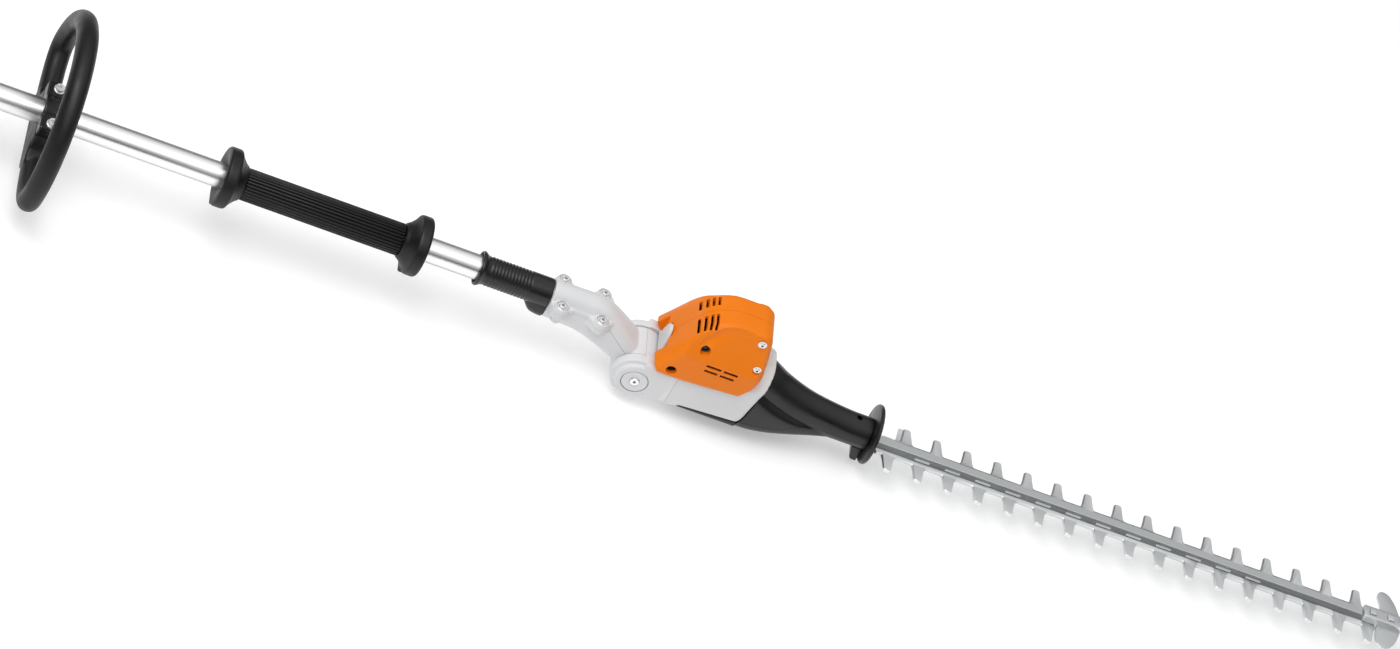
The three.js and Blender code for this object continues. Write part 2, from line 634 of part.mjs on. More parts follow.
function buildCover() {
  const notch = join(
    slabX([
      [-17.2, 10], [17.2, 10], [16.2, 30.4], [13.7, 41.4], [9, 51.4], [3.5, 57.2], [-3.5, 57.2], [-9, 51.4],
      [-13.7, 41.4], [-16.2, 30.4],
    ], -10, 16.5),
    box(-10, 14, -20.6, 20.6, 10, 54),
  );
  const outer = coverBody(0).intersect(coverRegion(0)).subtract(notch);
  const inner = coverBody(2.6).intersect(coverRegion(2.6)).subtract(
    join(box(-10, 19.1, -19, 19, 10, 60), box(-10, 16.6, -23.2, 23.2, 10, 56.6)),
  );
  const opening = slabY([[21, 20], [95, 20], [95, 40], [21, 40]], -31, 31);
  const vents = [];
  for (let i = 0; i < 4; i += 1) {
    const x = 31.3 + i * VENT_PITCH;
    vents.push(box(x, x + VENT_WIDTH, -22, -5, 60, 120));
    vents.push(box(x, x + VENT_WIDTH, 7, 19, 60, 120));
  }
  const grilles = [[53, 69, 55.5], [71.5, 86.5, 55.5], [53.5, 67.5, 48.8], [70, 85, 48.8]];
  grilles.forEach(([x0, x1, z]) => {
    vents.push(box(x0, x1, -50, -20, z - 1.6, z + 1.6));
    vents.push(box(x0, x1, 20, 50, z - 1.6, z + 1.6));
  });
  const bosses = join(...COVER_SCREWS.map(({ x, z, recess }) => rodY(recess + 1.6, -40, -0.4, x, z, 12)));
  const leftBosses = bosses.mirror([0, 1, 0]);
  const shell = cut(outer, inner, opening, ...vents);
  const solidBosses = join(bosses, leftBosses).intersect(outer);
  const motorRoom = rodZ(STATOR_R + 1, 20, 73, MOTOR_X, 0, 20);
  const fanRoom = rodZ(19.4, 70, 86, MOTOR_X, 0, 20);
  const kept = solidBosses.subtract(motorRoom).subtract(fanRoom);
  const whole = join(shell, kept);
  const right = whole.subtract(box(-50, 200, -0.15, 60, -50, 200));
  const left = whole.subtract(box(-50, 200, -60, 0.15, -50, 200));
  const rightHoles = COVER_SCREWS.map(({ x, z, recess, seat }) => rodY(recess, -50, seat, x, z, 14));
  const shankHoles = COVER_SCREWS.map(({ x, z }) => rodY(2.1, -50, 8, x, z, 8));
  add("motor_cover_right", largest(cut(right, ...rightHoles, ...shankHoles)), ORANGE);
  add("motor_cover_left", largest(cut(left, ...shankHoles)), ORANGE);

  COVER_SCREWS.forEach(({ name, x, z, seat }) => {
    const under = seat - GAP;
    const head = join(rodY(4.3, under - 1, under, x, z, 12), rodY(3.2, under - 2.6, under - 0.5, x, z, 10));
    const socket = rodY(1.3, under - 5, under - 1.4, x, z, 6);
    const shank = rodY(1.7, under - 0.5, 7.5, x, z, 8);
    add(`cover_screw_${name}`, cut(join(head, shank), socket), BRIGHT);
  });
}

// ---- motor, pinion, crank gear and its bearing ----
function toothed(r, depth, count, z0, z1, x) {
  const points = [];
  for (let i = 0; i < count; i += 1) {
    const step = (2 * Math.PI) / count;
    [[0, r], [0.3, r], [0.5, r - depth], [0.8, r - depth]].forEach(([part, radius]) => {
      const turn = (i + part) * step;
      points.push([x + radius * Math.cos(turn), radius * Math.sin(turn)]);
    });
  }
  return slabZ(points, z0, z1);
}

function buildDrive() {
  const core = rodZ(STATOR_R, 38, 64, MOTOR_X, 0, 20);
  const room = rodZ(12.9, 30, 90, MOTOR_X, 0, 18);
  const foot = box(MOTOR_X - 18, MOTOR_X + 18, -6, 6, 30, 44);
  const stator = cut(join(core, foot.intersect(rodZ(STATOR_R, 20, 50, MOTOR_X, 0, 20))), room);
  add("motor_stator", stator, IRON);
  const rotor = join(rodZ(12, 39, 63, MOTOR_X, 0, 18), rodZ(3, 22.5, 81, MOTOR_X, 0, 12));
  add("motor_rotor", rotor, COPPER);

  const blades = [];
  for (let i = 0; i < 7; i += 1) {
    const blade = box(5, 17.5, -0.9, 0.9, 72.8, 78.5);
    blades.push(blade.rotate([0, 0, (i * 360) / 7]).translate([MOTOR_X, 0, 0]));
  }
  const disc = rodZ(18.5, 71.4, 73, MOTOR_X, 0, 18);
  const fan = join(disc, rodZ(6, 72, 79.5, MOTOR_X, 0, 12), ...blades);
  add("motor_fan", cut(fan, rodZ(3.4, 60, 100, MOTOR_X, 0, 12)), BLACK);

  const pinion = cut(toothed(4.6, 0.8, PINION_TEETH, 9.5, 22, MOTOR_X), rodZ(1.6, 0, 12, MOTOR_X, 0, 8));
  add("motor_pinion", pinion, STEEL);

  const gear = toothed(23.1, 0.9, GEAR_TEETH, 11, 17.5, CRANK_X);
  const web = rodZ(9, 9.6, 19, CRANK_X, 0, 16);
  const spindle = rodZ(4.8, -5, 26, CRANK_X, 0, 16);
  const upper = rodZ(ECCENTRIC_R, UPPER_BLADE_Z - 0.3, UPPER_BLADE_Z + BLADE_THICK, CRANK_X + THROW, 0, 18);
  const lower = rodZ(ECCENTRIC_R, LOWER_BLADE_Z, LOWER_BLADE_Z + BLADE_THICK + 0.1, CRANK_X - THROW, 0, 18);
  add("crank_gear", join(gear, web, spindle, upper, lower), STEEL);
  const race = cut(rodZ(10.8, 20.3, 26, CRANK_X, 0, 20), rodZ(5.1, 10, 30, CRANK_X, 0, 20));
  add("crank_bearing", race, BRIGHT);
}

// ---- black neck housing and blade guard ----
function neckBody() {
  const centre = loftX([
    { x: 112, w: 26, top: 56, bottom: -14, n: 2.5 },
    { x: 127, w: 24, top: 52, bottom: -14, n: 2.4 },
    { x: 147, w: 21, top: 42, bottom: -12, n: 2.2 },
    { x: 173, w: 18, top: 32.5, bottom: -10, n: 2.1 },
    { x: 197, w: NECK_R, top: 27.5, bottom: -8.8, n: 2.1 },
    { x: NECK_FRONT_X, w: NECK_R, top: NECK_Z + NECK_R, bottom: NECK_Z - NECK_R, n: 2 },
  ]);
  const skirt = loftX([
    { x: 108, w: 33.5, top: 44, bottom: -19, n: 4 },
    { x: 124, w: 33, top: 32, bottom: -18.5, n: 4 },
    { x: 145, w: 29.5, top: 22, bottom: -17, n: 3.4 },
    { x: 168, w: 24, top: 15, bottom: -13.5, n: 3 },
    { x: 190, w: 18, top: 12, bottom: -10, n: 2.6 },
    { x: 205, w: 14, top: 10, bottom: -8, n: 2.2 },
  ]);
  return join(centre, skirt);
}

function buildNeck() {
  const front = slabY([
    [112.8, -40], [112.8, -7.2], [115.5, -1], [120.3, 33], [125.3, 57], [126, 80], [260, 80], [260, -40],
  ], -60, 60);
  const passage = join(
    box(100, 260, -PASSAGE.half, PASSAGE.half, PASSAGE.z0, PASSAGE.z1),
    loftX([
      { x: 110, w: 22, top: 46, bottom: 8, n: 2.6 },
      { x: 128, w: 20, top: 42, bottom: 8, n: 2.6 },
      { x: 165, w: 13.5, top: 28, bottom: 8, n: 2.4 },
      { x: 190, w: 11.4, top: 20, bottom: 8, n: 2.4 },
    ], 12),
  );
  const tab = slabY([[246.1, -4], [246.1, -22.6], [241, -22.6], [239.5, -21], [236, -4]], -10, 10, 1.4);
  const body = cut(neckBody().intersect(front), passage);
  const split = [[100, -5], [150, -3], [178, 6], [270, 6]];
  const below = slabY([...split, [270, -60], [100, -60]].reverse(), -60, 60);
  const lifted = slabY([
    [100, -5 + GAP], [150, -3 + GAP], [178, 6 + GAP], [270, 6 + GAP], [270, -60], [100, -60],
  ].reverse(), -60, 60);
  const screwWell = rodZ(3, 15, 60, 229.5, 0, 12);
  add("neck_upper", largest(cut(body.subtract(lifted), screwWell)), BLACK);
  add("neck_lower", largest(join(body.intersect(below), cut(tab, box(200, 260, -12, 12, -5.2, 20)))), BLACK);

  const disc = turnedX([
    [GUARD_X, 0], [GUARD_X, GUARD_R - 1], [GUARD_X + 1.2, GUARD_R], [GUARD_X + 3.6, GUARD_R],
    [GUARD_X + 4.8, GUARD_R - 1], [GUARD_X + 4.8, 0],
  ].reverse(), GUARD_Z, 28);
  add("guard_disc", cut(disc, box(240, 260, -PASSAGE.half, PASSAGE.half, PASSAGE.z0, PASSAGE.z1)), BLACK);
}

// ---- blades, guide bar and tip guard ----
function tooth(x, side) {
  const outline = [
    [-8.6, BLADE_BODY], [-6, 16.4], [-4.1, 30.4], [-2.6, TOOTH_TIP],
    [2.6, TOOTH_TIP], [4.1, 30.4], [6, 16.4], [8.6, BLADE_BODY],
  ];
  return outline.map(([u, v]) => [x + u, side * v]);
}

function bladeOutline(extraTooth) {
  const points = [];
  for (let i = 0; i < NEAR_TEETH; i += 1) points.push(...tooth(NEAR_TOOTH_X + i * PITCH, -1));
  points.push([BLADE_FRONT_X, -8], [BLADE_FRONT_X + 3, 0], [BLADE_FRONT_X, BLADE_BODY]);
  const far = [];
  for (let i = 0; i < FAR_TEETH; i += 1) {
    const x = FAR_TOOTH_X + i * PITCH - (i === 0 ? extraTooth : 0);
    far.push(...tooth(x, 1));
  }
  points.push(...far.reverse());
  points.push([266, BLADE_BODY], [258, 9], [106, 9], [103, 19], [57, 19], [55, 16], [55, -16], [57, -19],
    [103, -19], [106, -9], [256, -9], [259, -BLADE_BODY]);
  return points;
}

function bladeSlots() {
  const slots = [];
  for (let i = 0; i < POSTS; i += 1) {
    const x = POST_X + i * POST_PITCH;
    slots.push(box(x - 9.5, x + 9.5, -2.7, 2.7, -10, 10));
  }
  return slots;
}

function buildBlades() {
  const reach = ECCENTRIC_R + THROW + STROKE + 0.5;
  const window = box(CRANK_X - reach, CRANK_X + reach, -15.4, 15.4, -10, 10);
  const upper = slabZ(bladeOutline(0), UPPER_BLADE_Z, UPPER_BLADE_Z + BLADE_THICK);
  add("upper_blade", cut(upper, window, ...bladeSlots()), STEEL);
  const lower = slabZ(bladeOutline(5), LOWER_BLADE_Z, LOWER_BLADE_Z + BLADE_THICK);
  add("lower_blade", cut(lower, window, ...bladeSlots()), STEEL);

  const bar = slabX([[-7.4, BAR_Z], [7.4, BAR_Z], [4.4, BAR_TOP_Z], [-4.4, BAR_TOP_Z]], 128, 790);
  const posts = [];
  for (let i = 0; i < POSTS; i += 1) {
    const x = POST_X + i * POST_PITCH;
    posts.push(rodZ(2.3, -4.6, 3, x, 0, 8));
  }
  const slots = [];
  for (let i = 0; i < BAR_SLOTS; i += 1) {
    const x = 299 + i * PITCH;
    slots.push(box(x, x + 16, -9, -4.3, 2.6, 4.9));
  }
  add("guide_bar", cut(join(bar, ...posts), ...slots), BAR_STEEL);

  const lobes = slabZ([
    [808, -8], [805, -22], [807, -33], [814, -39], [821, -36], [828, -26], [832, -13], [834, -5],
    [834, 5], [832, 14], [827, 28], [820, 38], [813, 40], [808, 36], [807, 29], [811, 18], [808, 8],
  ], 1.8, 4.4);
  const cap = slabX([[-7.9, 1.6], [7.9, 1.6], [7.9, 9.4], [6.8, 10.2], [-6.8, 10.2], [-7.9, 9.4]], ...TIP_X);
  const strap = box(815, TIP_X[1], -7.4, 7.4, -5.2, 2);
  const tongue = box(809.5, TIP_X[1], -7.4, 7.4, -5.2, -3.3);
  const holes = RIVET_X.map((x) => rodZ(2.5, -6, 12, x, 0, 8));
  add("tip_guard", cut(join(cap, lobes, strap, tongue), ...holes), STEEL);
  [["tip_rivet_rear", RIVET_X[0], 1.9], ["tip_rivet_front", RIVET_X[1], -5]].forEach(([name, x, z]) => {
    const head = slabZ([[x - 3.4, -3.4], [x + 3.4, -3.4], [x + 3.4, 3.4], [x - 3.4, 3.4]], 10.4, 12, 0.6);
    add(name, join(head, rodZ(2.1, z, 11, x, 0, 8)), BRIGHT);
  });
}

// ---- rear control unit ----
const REAR_OUTLINE = [
  [-796, 24], [-796, 60], [-806, 64], [-836, 63], [-850, 60.5], [-1000, 60.5], [-1016, 64], [-1030, 80],
  [-1046, 86], [-1200, 86], [-1212, 78], [-1214, 60], [-1214, 4], [-1208, -14], [-1196, -24],
  [-1090, -34], [-1050, -34], [-1020, -31], [-860, -31], [-832, -26], [-816, -8], [-806, 16],
];
const FINGER_GAP = [
  [-858, 23.5], [-1006, 23.5], [-1014, 17], [-1014, -10], [-1006, -17], [-862, -17], [-848, -10],
  [-846, 14], [-850, 20],
];

function rearOuter(inset, steps) {
  const handle = slabY(REAR_OUTLINE, -SHELL_HALF + inset, SHELL_HALF - inset, 6, 8, steps, inset);
  const caseOutline = [
    [-1020, 6], [-1018, 62], [-1030, 80], [-1046, 86], [-1200, 86], [-1212, 78], [-1214, 60],
    [-1214, 4], [-1208, -14], [-1196, -24], [-1090, -34], [-1050, -34], [-1030, -24],
  ];
  const bulge = slabY(caseOutline, -CASE_HALF + inset, CASE_HALF - inset, 5, 8, steps, inset);
  return join(handle, bulge);
}

const PACK = { x0: -1213, x1: -1086, half: 36, z0: -10, z1: 52 };
const TRIGGER_PIVOT = [-891, 26];
const LEVER_PIVOT = [-868.5, 57.2];

function buildRear() {
  const outer = rearOuter(0, 2);
  const inner = rearOuter(3, 1);
  const fingers = slabY(FINGER_GAP, -60, 60);
  const fingerWall = slabY([
    [-854, 26.5], [-1009, 26.5], [-1017, 19], [-1017, -12], [-1008, -20], [-860, -20], [-845, -12],
    [-843, 15], [-847, 22],
  ], -60, 60);
  const bay = box(-1240, PACK.x1 + GAP, -PACK.half - GAP, PACK.half + GAP, PACK.z0 - GAP, PACK.z1 + GAP);
  const bayWall = box(-1240, PACK.x1 + 3, -PACK.half - 3, PACK.half + 3, PACK.z0 - 3, PACK.z1 + 3);
  const cavity = cut(inner, fingerWall, bayWall);
  const seat = rodX(SEAT_R, TUBE_REAR_X - GAP, -790, 0, SHAFT_Z, 20);
  const nose = rodX(16.5, TUBE_REAR_X - 4, -797, 0, SHAFT_Z).intersect(inner);
  const cableHole = rodX(CABLE_R + 0.6, -870, -840, 0, SHAFT_Z, 12);
  const triggerSlot = box(-934, -886, -6.4, 6.4, 18, 34);
  const leverSlot = box(-912, -858, -6.4, 6.4, 52, 70);
  const contactGap = box(-1096, -1060, -15.4, 15.4, 12, 40);
  const latchSlot = box(-1196, -1156, -9.4, 9.4, 50, 96);
  const shell = cut(outer, cavity);
  const pivots = [TRIGGER_PIVOT, LEVER_PIVOT].map(([x, z]) => rodY(1.95, -11.3, 11.3, x, z, 12));
  const whole = cut(
    join(shell, nose), fingers, bay, seat, cableHole, triggerSlot, leverSlot, contactGap, latchSlot,
    ...pivots,
  );
  const screwSpots = [[-832, 6], [-1040, 70], [-1040, -24], [-838, -21]];
  const bosses = join(...screwSpots.map(([x, z]) => rodY(5.4, -CASE_HALF, CASE_HALF, x, z, 10)))
    .intersect(outer).subtract(seat);
  const pieces = join(whole, bosses);
  const screwHoles = screwSpots.map(([x, z]) => rodY(2, -60, 9, x, z, 6));
  const heads = screwSpots.map(([x, z]) => rodY(4.2, -60, -12, x, z, 10));
  const right = cut(pieces.subtract(box(-1300, 0, -0.15, 60, -60, 120)), ...screwHoles, ...heads);
  const left = cut(pieces.subtract(box(-1300, 0, -60, 0.15, -60, 120)), ...screwHoles);
  add("rear_shell_right", largest(right), BLACK);
  add("rear_shell_left", largest(left), BLACK);
  screwSpots.forEach(([x, z], i) => {
    if (i > 1) return;
    const head = cut(rodY(3.6, -15, -12.3, x, z, 10), rodY(1.2, -16, -13.6, x, z, 6));
    add(["shell_screw_front", "shell_screw_rear"][i], join(head, rodY(1.6, -12.6, 8, x, z, 8)), BRIGHT);
  });

  const [triggerX, triggerZ] = TRIGGER_PIVOT;
  const blade = slabY([
    [-884, 16.5], [-890, 10], [-900, 7], [-914, 9], [-926, 16], [-932, 26], [-931, 29.5], [-888, 29.5],
  ], -TRIGGER_HALF, TRIGGER_HALF, 1.2, 1.2, 1);
  add("trigger", cut(blade, rodY(1.7, -10, 10, triggerX, triggerZ, 16)), ORANGE);
  add("trigger_pin", rodY(PIVOT_PIN_R, -11, 11, triggerX, triggerZ, 16), STEEL);
  const plunger = box(-941, -936.5, -2.5, 2.5, 29, 32);
  add("trigger_switch", join(box(-966, -940, -7, 7, 27, 35), plunger), NYLON);

  const [leverX, leverZ] = LEVER_PIVOT;
  const lever = slabY([
    [-868, 53.2], [-862, 57], [-866, 61.2], [-900, 66], [-906, 66], [-909, 62], [-904, 57.6],
    [-880, 56.5], [-873, 53.2],
  ].reverse(), -TRIGGER_HALF, TRIGGER_HALF, 1, 1, 1);
  add("lockout_lever", cut(lever, rodY(1.7, -10, 10, leverX, leverZ, 16)), BLACK);
  add("lockout_pin", rodY(PIVOT_PIN_R, -11, 11, leverX, leverZ, 16), STEEL);

  const pack = slabX([
    [-36, -2], [-28, -10], [28, -10], [36, -2], [36, 44], [28, 52], [-28, 52], [-36, 44],
  ], PACK.x0, PACK.x1, 1.5);
  const rails = join(box(-1190, -1080, -40, -33.5, 14, 22), box(-1190, -1080, 33.5, 40, 14, 22));
  const terminals = box(-1110, PACK.x1 + 5, -12, 12, 14, 38);
  add("battery_pack", cut(pack, rails, terminals), BLACK);
  const block = join(box(-1109, -1070, -11, 11, 16, 36), box(-1082, -1078, -20, 20, 10, 42));
  add("contact_block", block, NYLON);
  const latch = join(
    box(-1192, -1160, -9, 9, 76, 90), box(-1186, -1164, -9, 9, 55.3, 77),
  );
  add("battery_latch", latch, ORANGE);
  add("controller_board", box(-1066, -1063.6, -30, 30, -14, 60), BOARD);
}

buildShaft();
buildLoop();
buildGrip();
buildSleeve();
buildBracket();
buildHinge();
buildGearHousing();
buildCover();
buildDrive();
buildNeck();
buildBlades();
buildRear();

// Move the tool so that the middle of its lowest plane is the origin.
const bounds = new THREE.Box3().setFromObject(tool);
const middle = bounds.getCenter(new THREE.Vector3());
tool.position.set(-middle.x, -middle.y, -bounds.min.z);
const placed = new THREE.Group();
placed.add(tool);

export default placed;
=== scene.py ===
import json
import math

import bmesh
import bpy
from mathutils import Matrix, Vector


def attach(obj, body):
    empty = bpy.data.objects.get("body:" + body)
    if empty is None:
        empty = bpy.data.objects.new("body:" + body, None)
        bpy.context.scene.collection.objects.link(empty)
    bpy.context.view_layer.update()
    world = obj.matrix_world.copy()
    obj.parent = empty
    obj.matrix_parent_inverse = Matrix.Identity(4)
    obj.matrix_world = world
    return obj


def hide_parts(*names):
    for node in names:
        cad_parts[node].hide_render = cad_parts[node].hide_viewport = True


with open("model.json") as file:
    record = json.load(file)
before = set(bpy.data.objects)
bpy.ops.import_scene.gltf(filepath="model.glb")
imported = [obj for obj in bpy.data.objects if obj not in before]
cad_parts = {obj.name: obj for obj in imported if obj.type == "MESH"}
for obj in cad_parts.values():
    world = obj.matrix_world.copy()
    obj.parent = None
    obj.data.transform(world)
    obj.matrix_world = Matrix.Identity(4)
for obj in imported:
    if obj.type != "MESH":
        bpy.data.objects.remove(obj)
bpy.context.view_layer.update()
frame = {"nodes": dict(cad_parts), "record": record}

JOINTS = {joint["name"]: joint for joint in frame["record"]["behaviour"]["joints"]}
BODIES = frame["record"]["behaviour"]["bodies"]
BODY_OF = {node: body for body, nodes in BODIES.items() for node in nodes}
SLOT_OF = {part["node"]: part["material_slot"] for part in frame["record"]["subparts"]}
HINGE = Vector(JOINTS["head_tilt"]["pos_m"])
MM = 0.001

# ---- driving dimensions, in millimetres ----
SHAFT_Z = 42
TUBE_R, TUBE_BORE_R = 12.7, 11.1
TUBE_REAR, TUBE_FRONT = -856, -62
SEAT_R = 13.0
# Clearance between pieces, and half the seam between the two halves of a shell.
GAP, SPLIT = 0.3, 0.15

LOOP_X, LOOP_TURN = -634, math.radians(10.6)
LOOP_HALF_WIDTH, LOOP_TOP, LOOP_BASE, LOOP_R = 97.5, 94.5, 32, 11.1
CLAMP_HALF, CLAMP_SCREWS = 11, (-21, 21)

GRIP_REAR, GRIP_FRONT, GRIP_R, FLANGE_R, FLUTES = -433.7, -268.3, 16.3, 30.5, 30
SLEEVE_REAR, SLEEVE_FRONT, SLEEVE_RINGS = -187, -110.6, 12

BARREL_R, BARREL_HALF, EAR_HALF, HEAD_HALF = 25, 19.5, 34, 34
BRACKET_SCREWS = {
    "rear_right": (-98.5, -19), "rear_left": (-98.5, 19),
    "front_right": (-56, -19), "front_left": (-56, 19)}
NECK_Z, NECK_R, NECK_FRONT = 8, 16.5, 246
GUARD_X, GUARD_R, GUARD_Z = 246.4, 31, 9

PITCH, NEAR_TOOTH, NEAR_TEETH, FAR_TOOTH, FAR_TEETH = 33, 271.6, 17, 290, 16
TOOTH_TIP, BLADE_BODY, BLADE_THICK = 32.5, 12.5, 2
UPPER_Z, LOWER_Z, BLADE_FRONT = -0.6, -2.9, 806
# x of the bar's posts, the tip guard's rivets, the motor and the reduction gear.
POSTS, RIVETS = [312 + 95 * i for i in range(6)], (800.5, 820)
MOTOR_X, GEAR_X = 51, 79
SHELL_HALF, CASE_HALF = 21, 43


# ---- outlines ----
def area(points):
    following = points[1:] + points[:1]
    return sum(a[0] * b[1] - b[0] * a[1] for a, b in zip(points, following)) / 2


def inset(points, distance):
    """The outline moved inwards, with mitred corners."""
    if not distance:
        return points
    sign = 1 if area(points) > 0 else -1
    moved = []
    for i, point in enumerate(points):
        before, after = Vector(points[i - 1]), Vector(points[(i + 1) % len(points)])
        here = Vector(point)
        into, out = (here - before).normalized(), (after - here).normalized()
        normal_in = Vector((-into.y, into.x)) * sign
        normal_out = Vector((-out.y, out.x)) * sign
        middle = normal_in + normal_out
        reach = max(middle.dot(normal_in), 0.35)
        moved.append(tuple(here + middle * (distance / reach)))
    return moved


def rounded(points, radius, steps=4):
    """The outline with its corners rounded, by a smaller radius where a side is short."""
    result = []
    for i, point in enumerate(points):
        here = Vector(point)
        before, after = Vector(points[i - 1]) - here, Vector(points[(i + 1) % len(points)]) - here
        cut_back = min(radius, before.length * 0.45, after.length * 0.45)
        start, end = here + before.normalized() * cut_back, here + after.normalized() * cut_back
        for step in range(steps + 1):
            t = step / steps
            result.append(tuple(start * (1 - t) ** 2 + here * 2 * t * (1 - t) + end * t ** 2))
    return result


def rectangle(u0, u1, v0, v1):
    return [(u0, v0), (u1, v0), (u1, v1), (u0, v1)]


def symmetric(half):
    """An outline from its right half, which runs from the first point up the right side."""
    mirror = [(-u, v) for u, v in half]
    return mirror[:1] + half + mirror[:0:-1]


def turns(count):
    """Angles that go once round in even steps."""
    return [2 * math.pi * i / count for i in range(count)]


def circle(radius, count):
    return [(radius * math.cos(t), radius * math.sin(t)) for t in turns(count)]


def through(xs, ys, x):
    """A smooth curve through the points (xs, ys), read at x."""
    i = max(j for j in range(len(xs) - 1) if xs[j] <= x or j == 0)
    span = xs[i + 1] - xs[i]
    t = min(max((x - xs[i]) / span, 0), 1)

    def slope(j):
        low, high = max(j - 1, 0), min(j + 1, len(xs) - 1)
        return (ys[high] - ys[low]) / (xs[high] - xs[low])

    m0, m1 = slope(i) * span, slope(i + 1) * span
    return ((2 * t ** 3 - 3 * t ** 2 + 1) * ys[i] + (t ** 3 - 2 * t ** 2 + t) * m0
            + (3 * t ** 2 - 2 * t ** 3) * ys[i + 1] + (t ** 3 - t ** 2) * m1)


# ---- closed meshes ----
def closed_mesh(points, faces):
    mesh = bpy.data.meshes.new("part")
    mesh.from_pydata([HINGE + Vector(point) * MM for point in points], [], faces)
    bm = bmesh.new()
    bm.from_mesh(mesh)
    bmesh.ops.remove_doubles(bm, verts=bm.verts, dist=1e-7)
    bmesh.ops.dissolve_degenerate(bm, dist=1e-8, edges=bm.edges)
    bmesh.ops.recalc_face_normals(bm, faces=bm.faces)
    bm.to_mesh(mesh)
    bm.free()
    obj = bpy.data.objects.new("part", mesh)
    bpy.context.scene.collection.objects.link(obj)
    return obj


def skin(rings, closed=False):
    """A surface over rings with the same number of points, capped at both ends or closed on itself."""
    count = len(rings[0])
    points = [point for ring in rings for point in ring]
    faces = []
    for i in range(len(rings) if closed else len(rings) - 1):
        a, b = i * count, (i + 1) % len(rings) * count
        for k in range(count):
            m = (k + 1) % count
            faces.append((a + k, a + m, b + m, b + k))
    if not closed:
        faces.append(tuple(range(count)))
        faces.append(tuple(range((len(rings) - 1) * count, len(rings) * count)))
    return closed_mesh(points, faces)


def turned(profile, origin, direction, segments, closed=False):
    """A profile of (along, radius) pairs turned about a line through origin."""
    turn = Vector((1, 0, 0)).rotation_difference(Vector(direction))
    origin = Vector(origin)
    rings = []
    for along, radius in profile:
        rings.append([origin + turn @ Vector((along, radius * math.cos(t), radius * math.sin(t)))
                      for t in turns(segments)])
    return skin(rings, closed)


def rod(radius, start, end, segments, chamfer=0):
    start, end = Vector(start), Vector(end)
    length = (end - start).length
    profile = [(0, 0), (0, radius - chamfer), (chamfer, radius), (length - chamfer, radius),
               (length, radius - chamfer), (length, 0)]
    return turned(profile, start, end - start, segments)


def rod_x(radius, x0, x1, segments):
    """A rod on the shaft's axis."""
    return rod(radius, (x0, 0, SHAFT_Z), (x1, 0, SHAFT_Z), segments)


def rod_y(radius, x, z, y0, y1, segments=48):
    return rod(radius, (x, y0, z), (x, y1, z), segments)


def rod_z(radius, x, y, z0, z1, segments=48, chamfer=0):
    return rod(radius, (x, y, z0), (x, y, z1), segments, chamfer)


PLANES = {
    "X": lambda u, v, w: (w, u, v),
    "Y": lambda u, v, w: (u, w, v),
    "Z": lambda u, v, w: (u, v, w),
}


def slab(points, axis, low, high, edge=0, depth=None, steps=4):
    """An outline drawn out along an axis, with its two ends rounded over."""
    depth = edge if depth is None else depth
    place = PLANES[axis]
    layers = []
    for step in range(steps + 1 if edge else 1):
        t = step / steps * math.pi / 2
        layers.append((low + depth * (1 - math.sin(t)), edge * (1 - math.cos(t))))
    layers = sorted(layers) if edge else [(low, 0)]
    layers += [(high + low - w, d) for w, d in reversed(layers)]
    return skin([[place(u, v, w) for u, v in inset(points, d)] for w, d in layers])


def block(x0, x1, y0, y1, z0, z1):
    return slab(rectangle(x0, x1, y0, y1), "Z", z0, z1)


def loft(stations, segments=72, rows=60):
    """A rounded body through stations of (x, half width, top, bottom, squareness)."""
    xs = [s[0] for s in stations]
    rings = []
    for row in range(rows + 1):
        x = xs[0] + (xs[-1] - xs[0]) * row / rows
        w, top, bottom, n = (through(xs, [s[k] for s in stations], x) for k in range(1, 5))
        middle, half = (top + bottom) / 2, (top - bottom) / 2
        ring = []
        for t in turns(segments):
            c, s = math.cos(t), math.sin(t)
            ring.append((x, w * math.copysign(abs(c) ** (2 / n), c),
                         middle + half * math.copysign(abs(s) ** (2 / n), s)))
        rings.append(ring)
    return skin(rings)


def settle(obj):
    """Turns the object's modifiers into its mesh."""
    graph = bpy.context.evaluated_depsgraph_get()
    mesh = bpy.data.meshes.new_from_object(obj.evaluated_get(graph))
    old = obj.data
    obj.modifiers.clear()
    obj.data = mesh
    bpy.data.meshes.remove(old)
    return obj


def copy(obj):
    twin = bpy.data.objects.new("part", obj.data.copy())
    bpy.context.scene.collection.objects.link(twin)
    return twin


def combine(base, others, operation):
    for other in others:
        modifier = base.modifiers.new("combine", "BOOLEAN")
        modifier.operation, modifier.solver, modifier.object = operation, "MANIFOLD", other
        settle(base)
        bpy.data.objects.remove(other)
    return base


def join(base, *others):
    return combine(base, others, "UNION")


def cut(base, *others):
    return combine(base, others, "DIFFERENCE")


def meet(base, *others):
    return combine(base, others, "INTERSECT")


def moulded(obj, voxel, rounds):
    """Joins the piece into one skin and rounds its edges and inner corners, as a mould does."""
    remesh = obj.modifiers.new("skin", "REMESH")
    remesh.mode, remesh.voxel_size = "VOXEL", voxel * MM
    smooth = obj.modifiers.new("soften", "SMOOTH")
    smooth.factor, smooth.iterations = 0.5, rounds
    return settle(obj)


# ---- finishes ----
WEAR_START = 0.53
FINE_STEEL = (8, 8, 8)


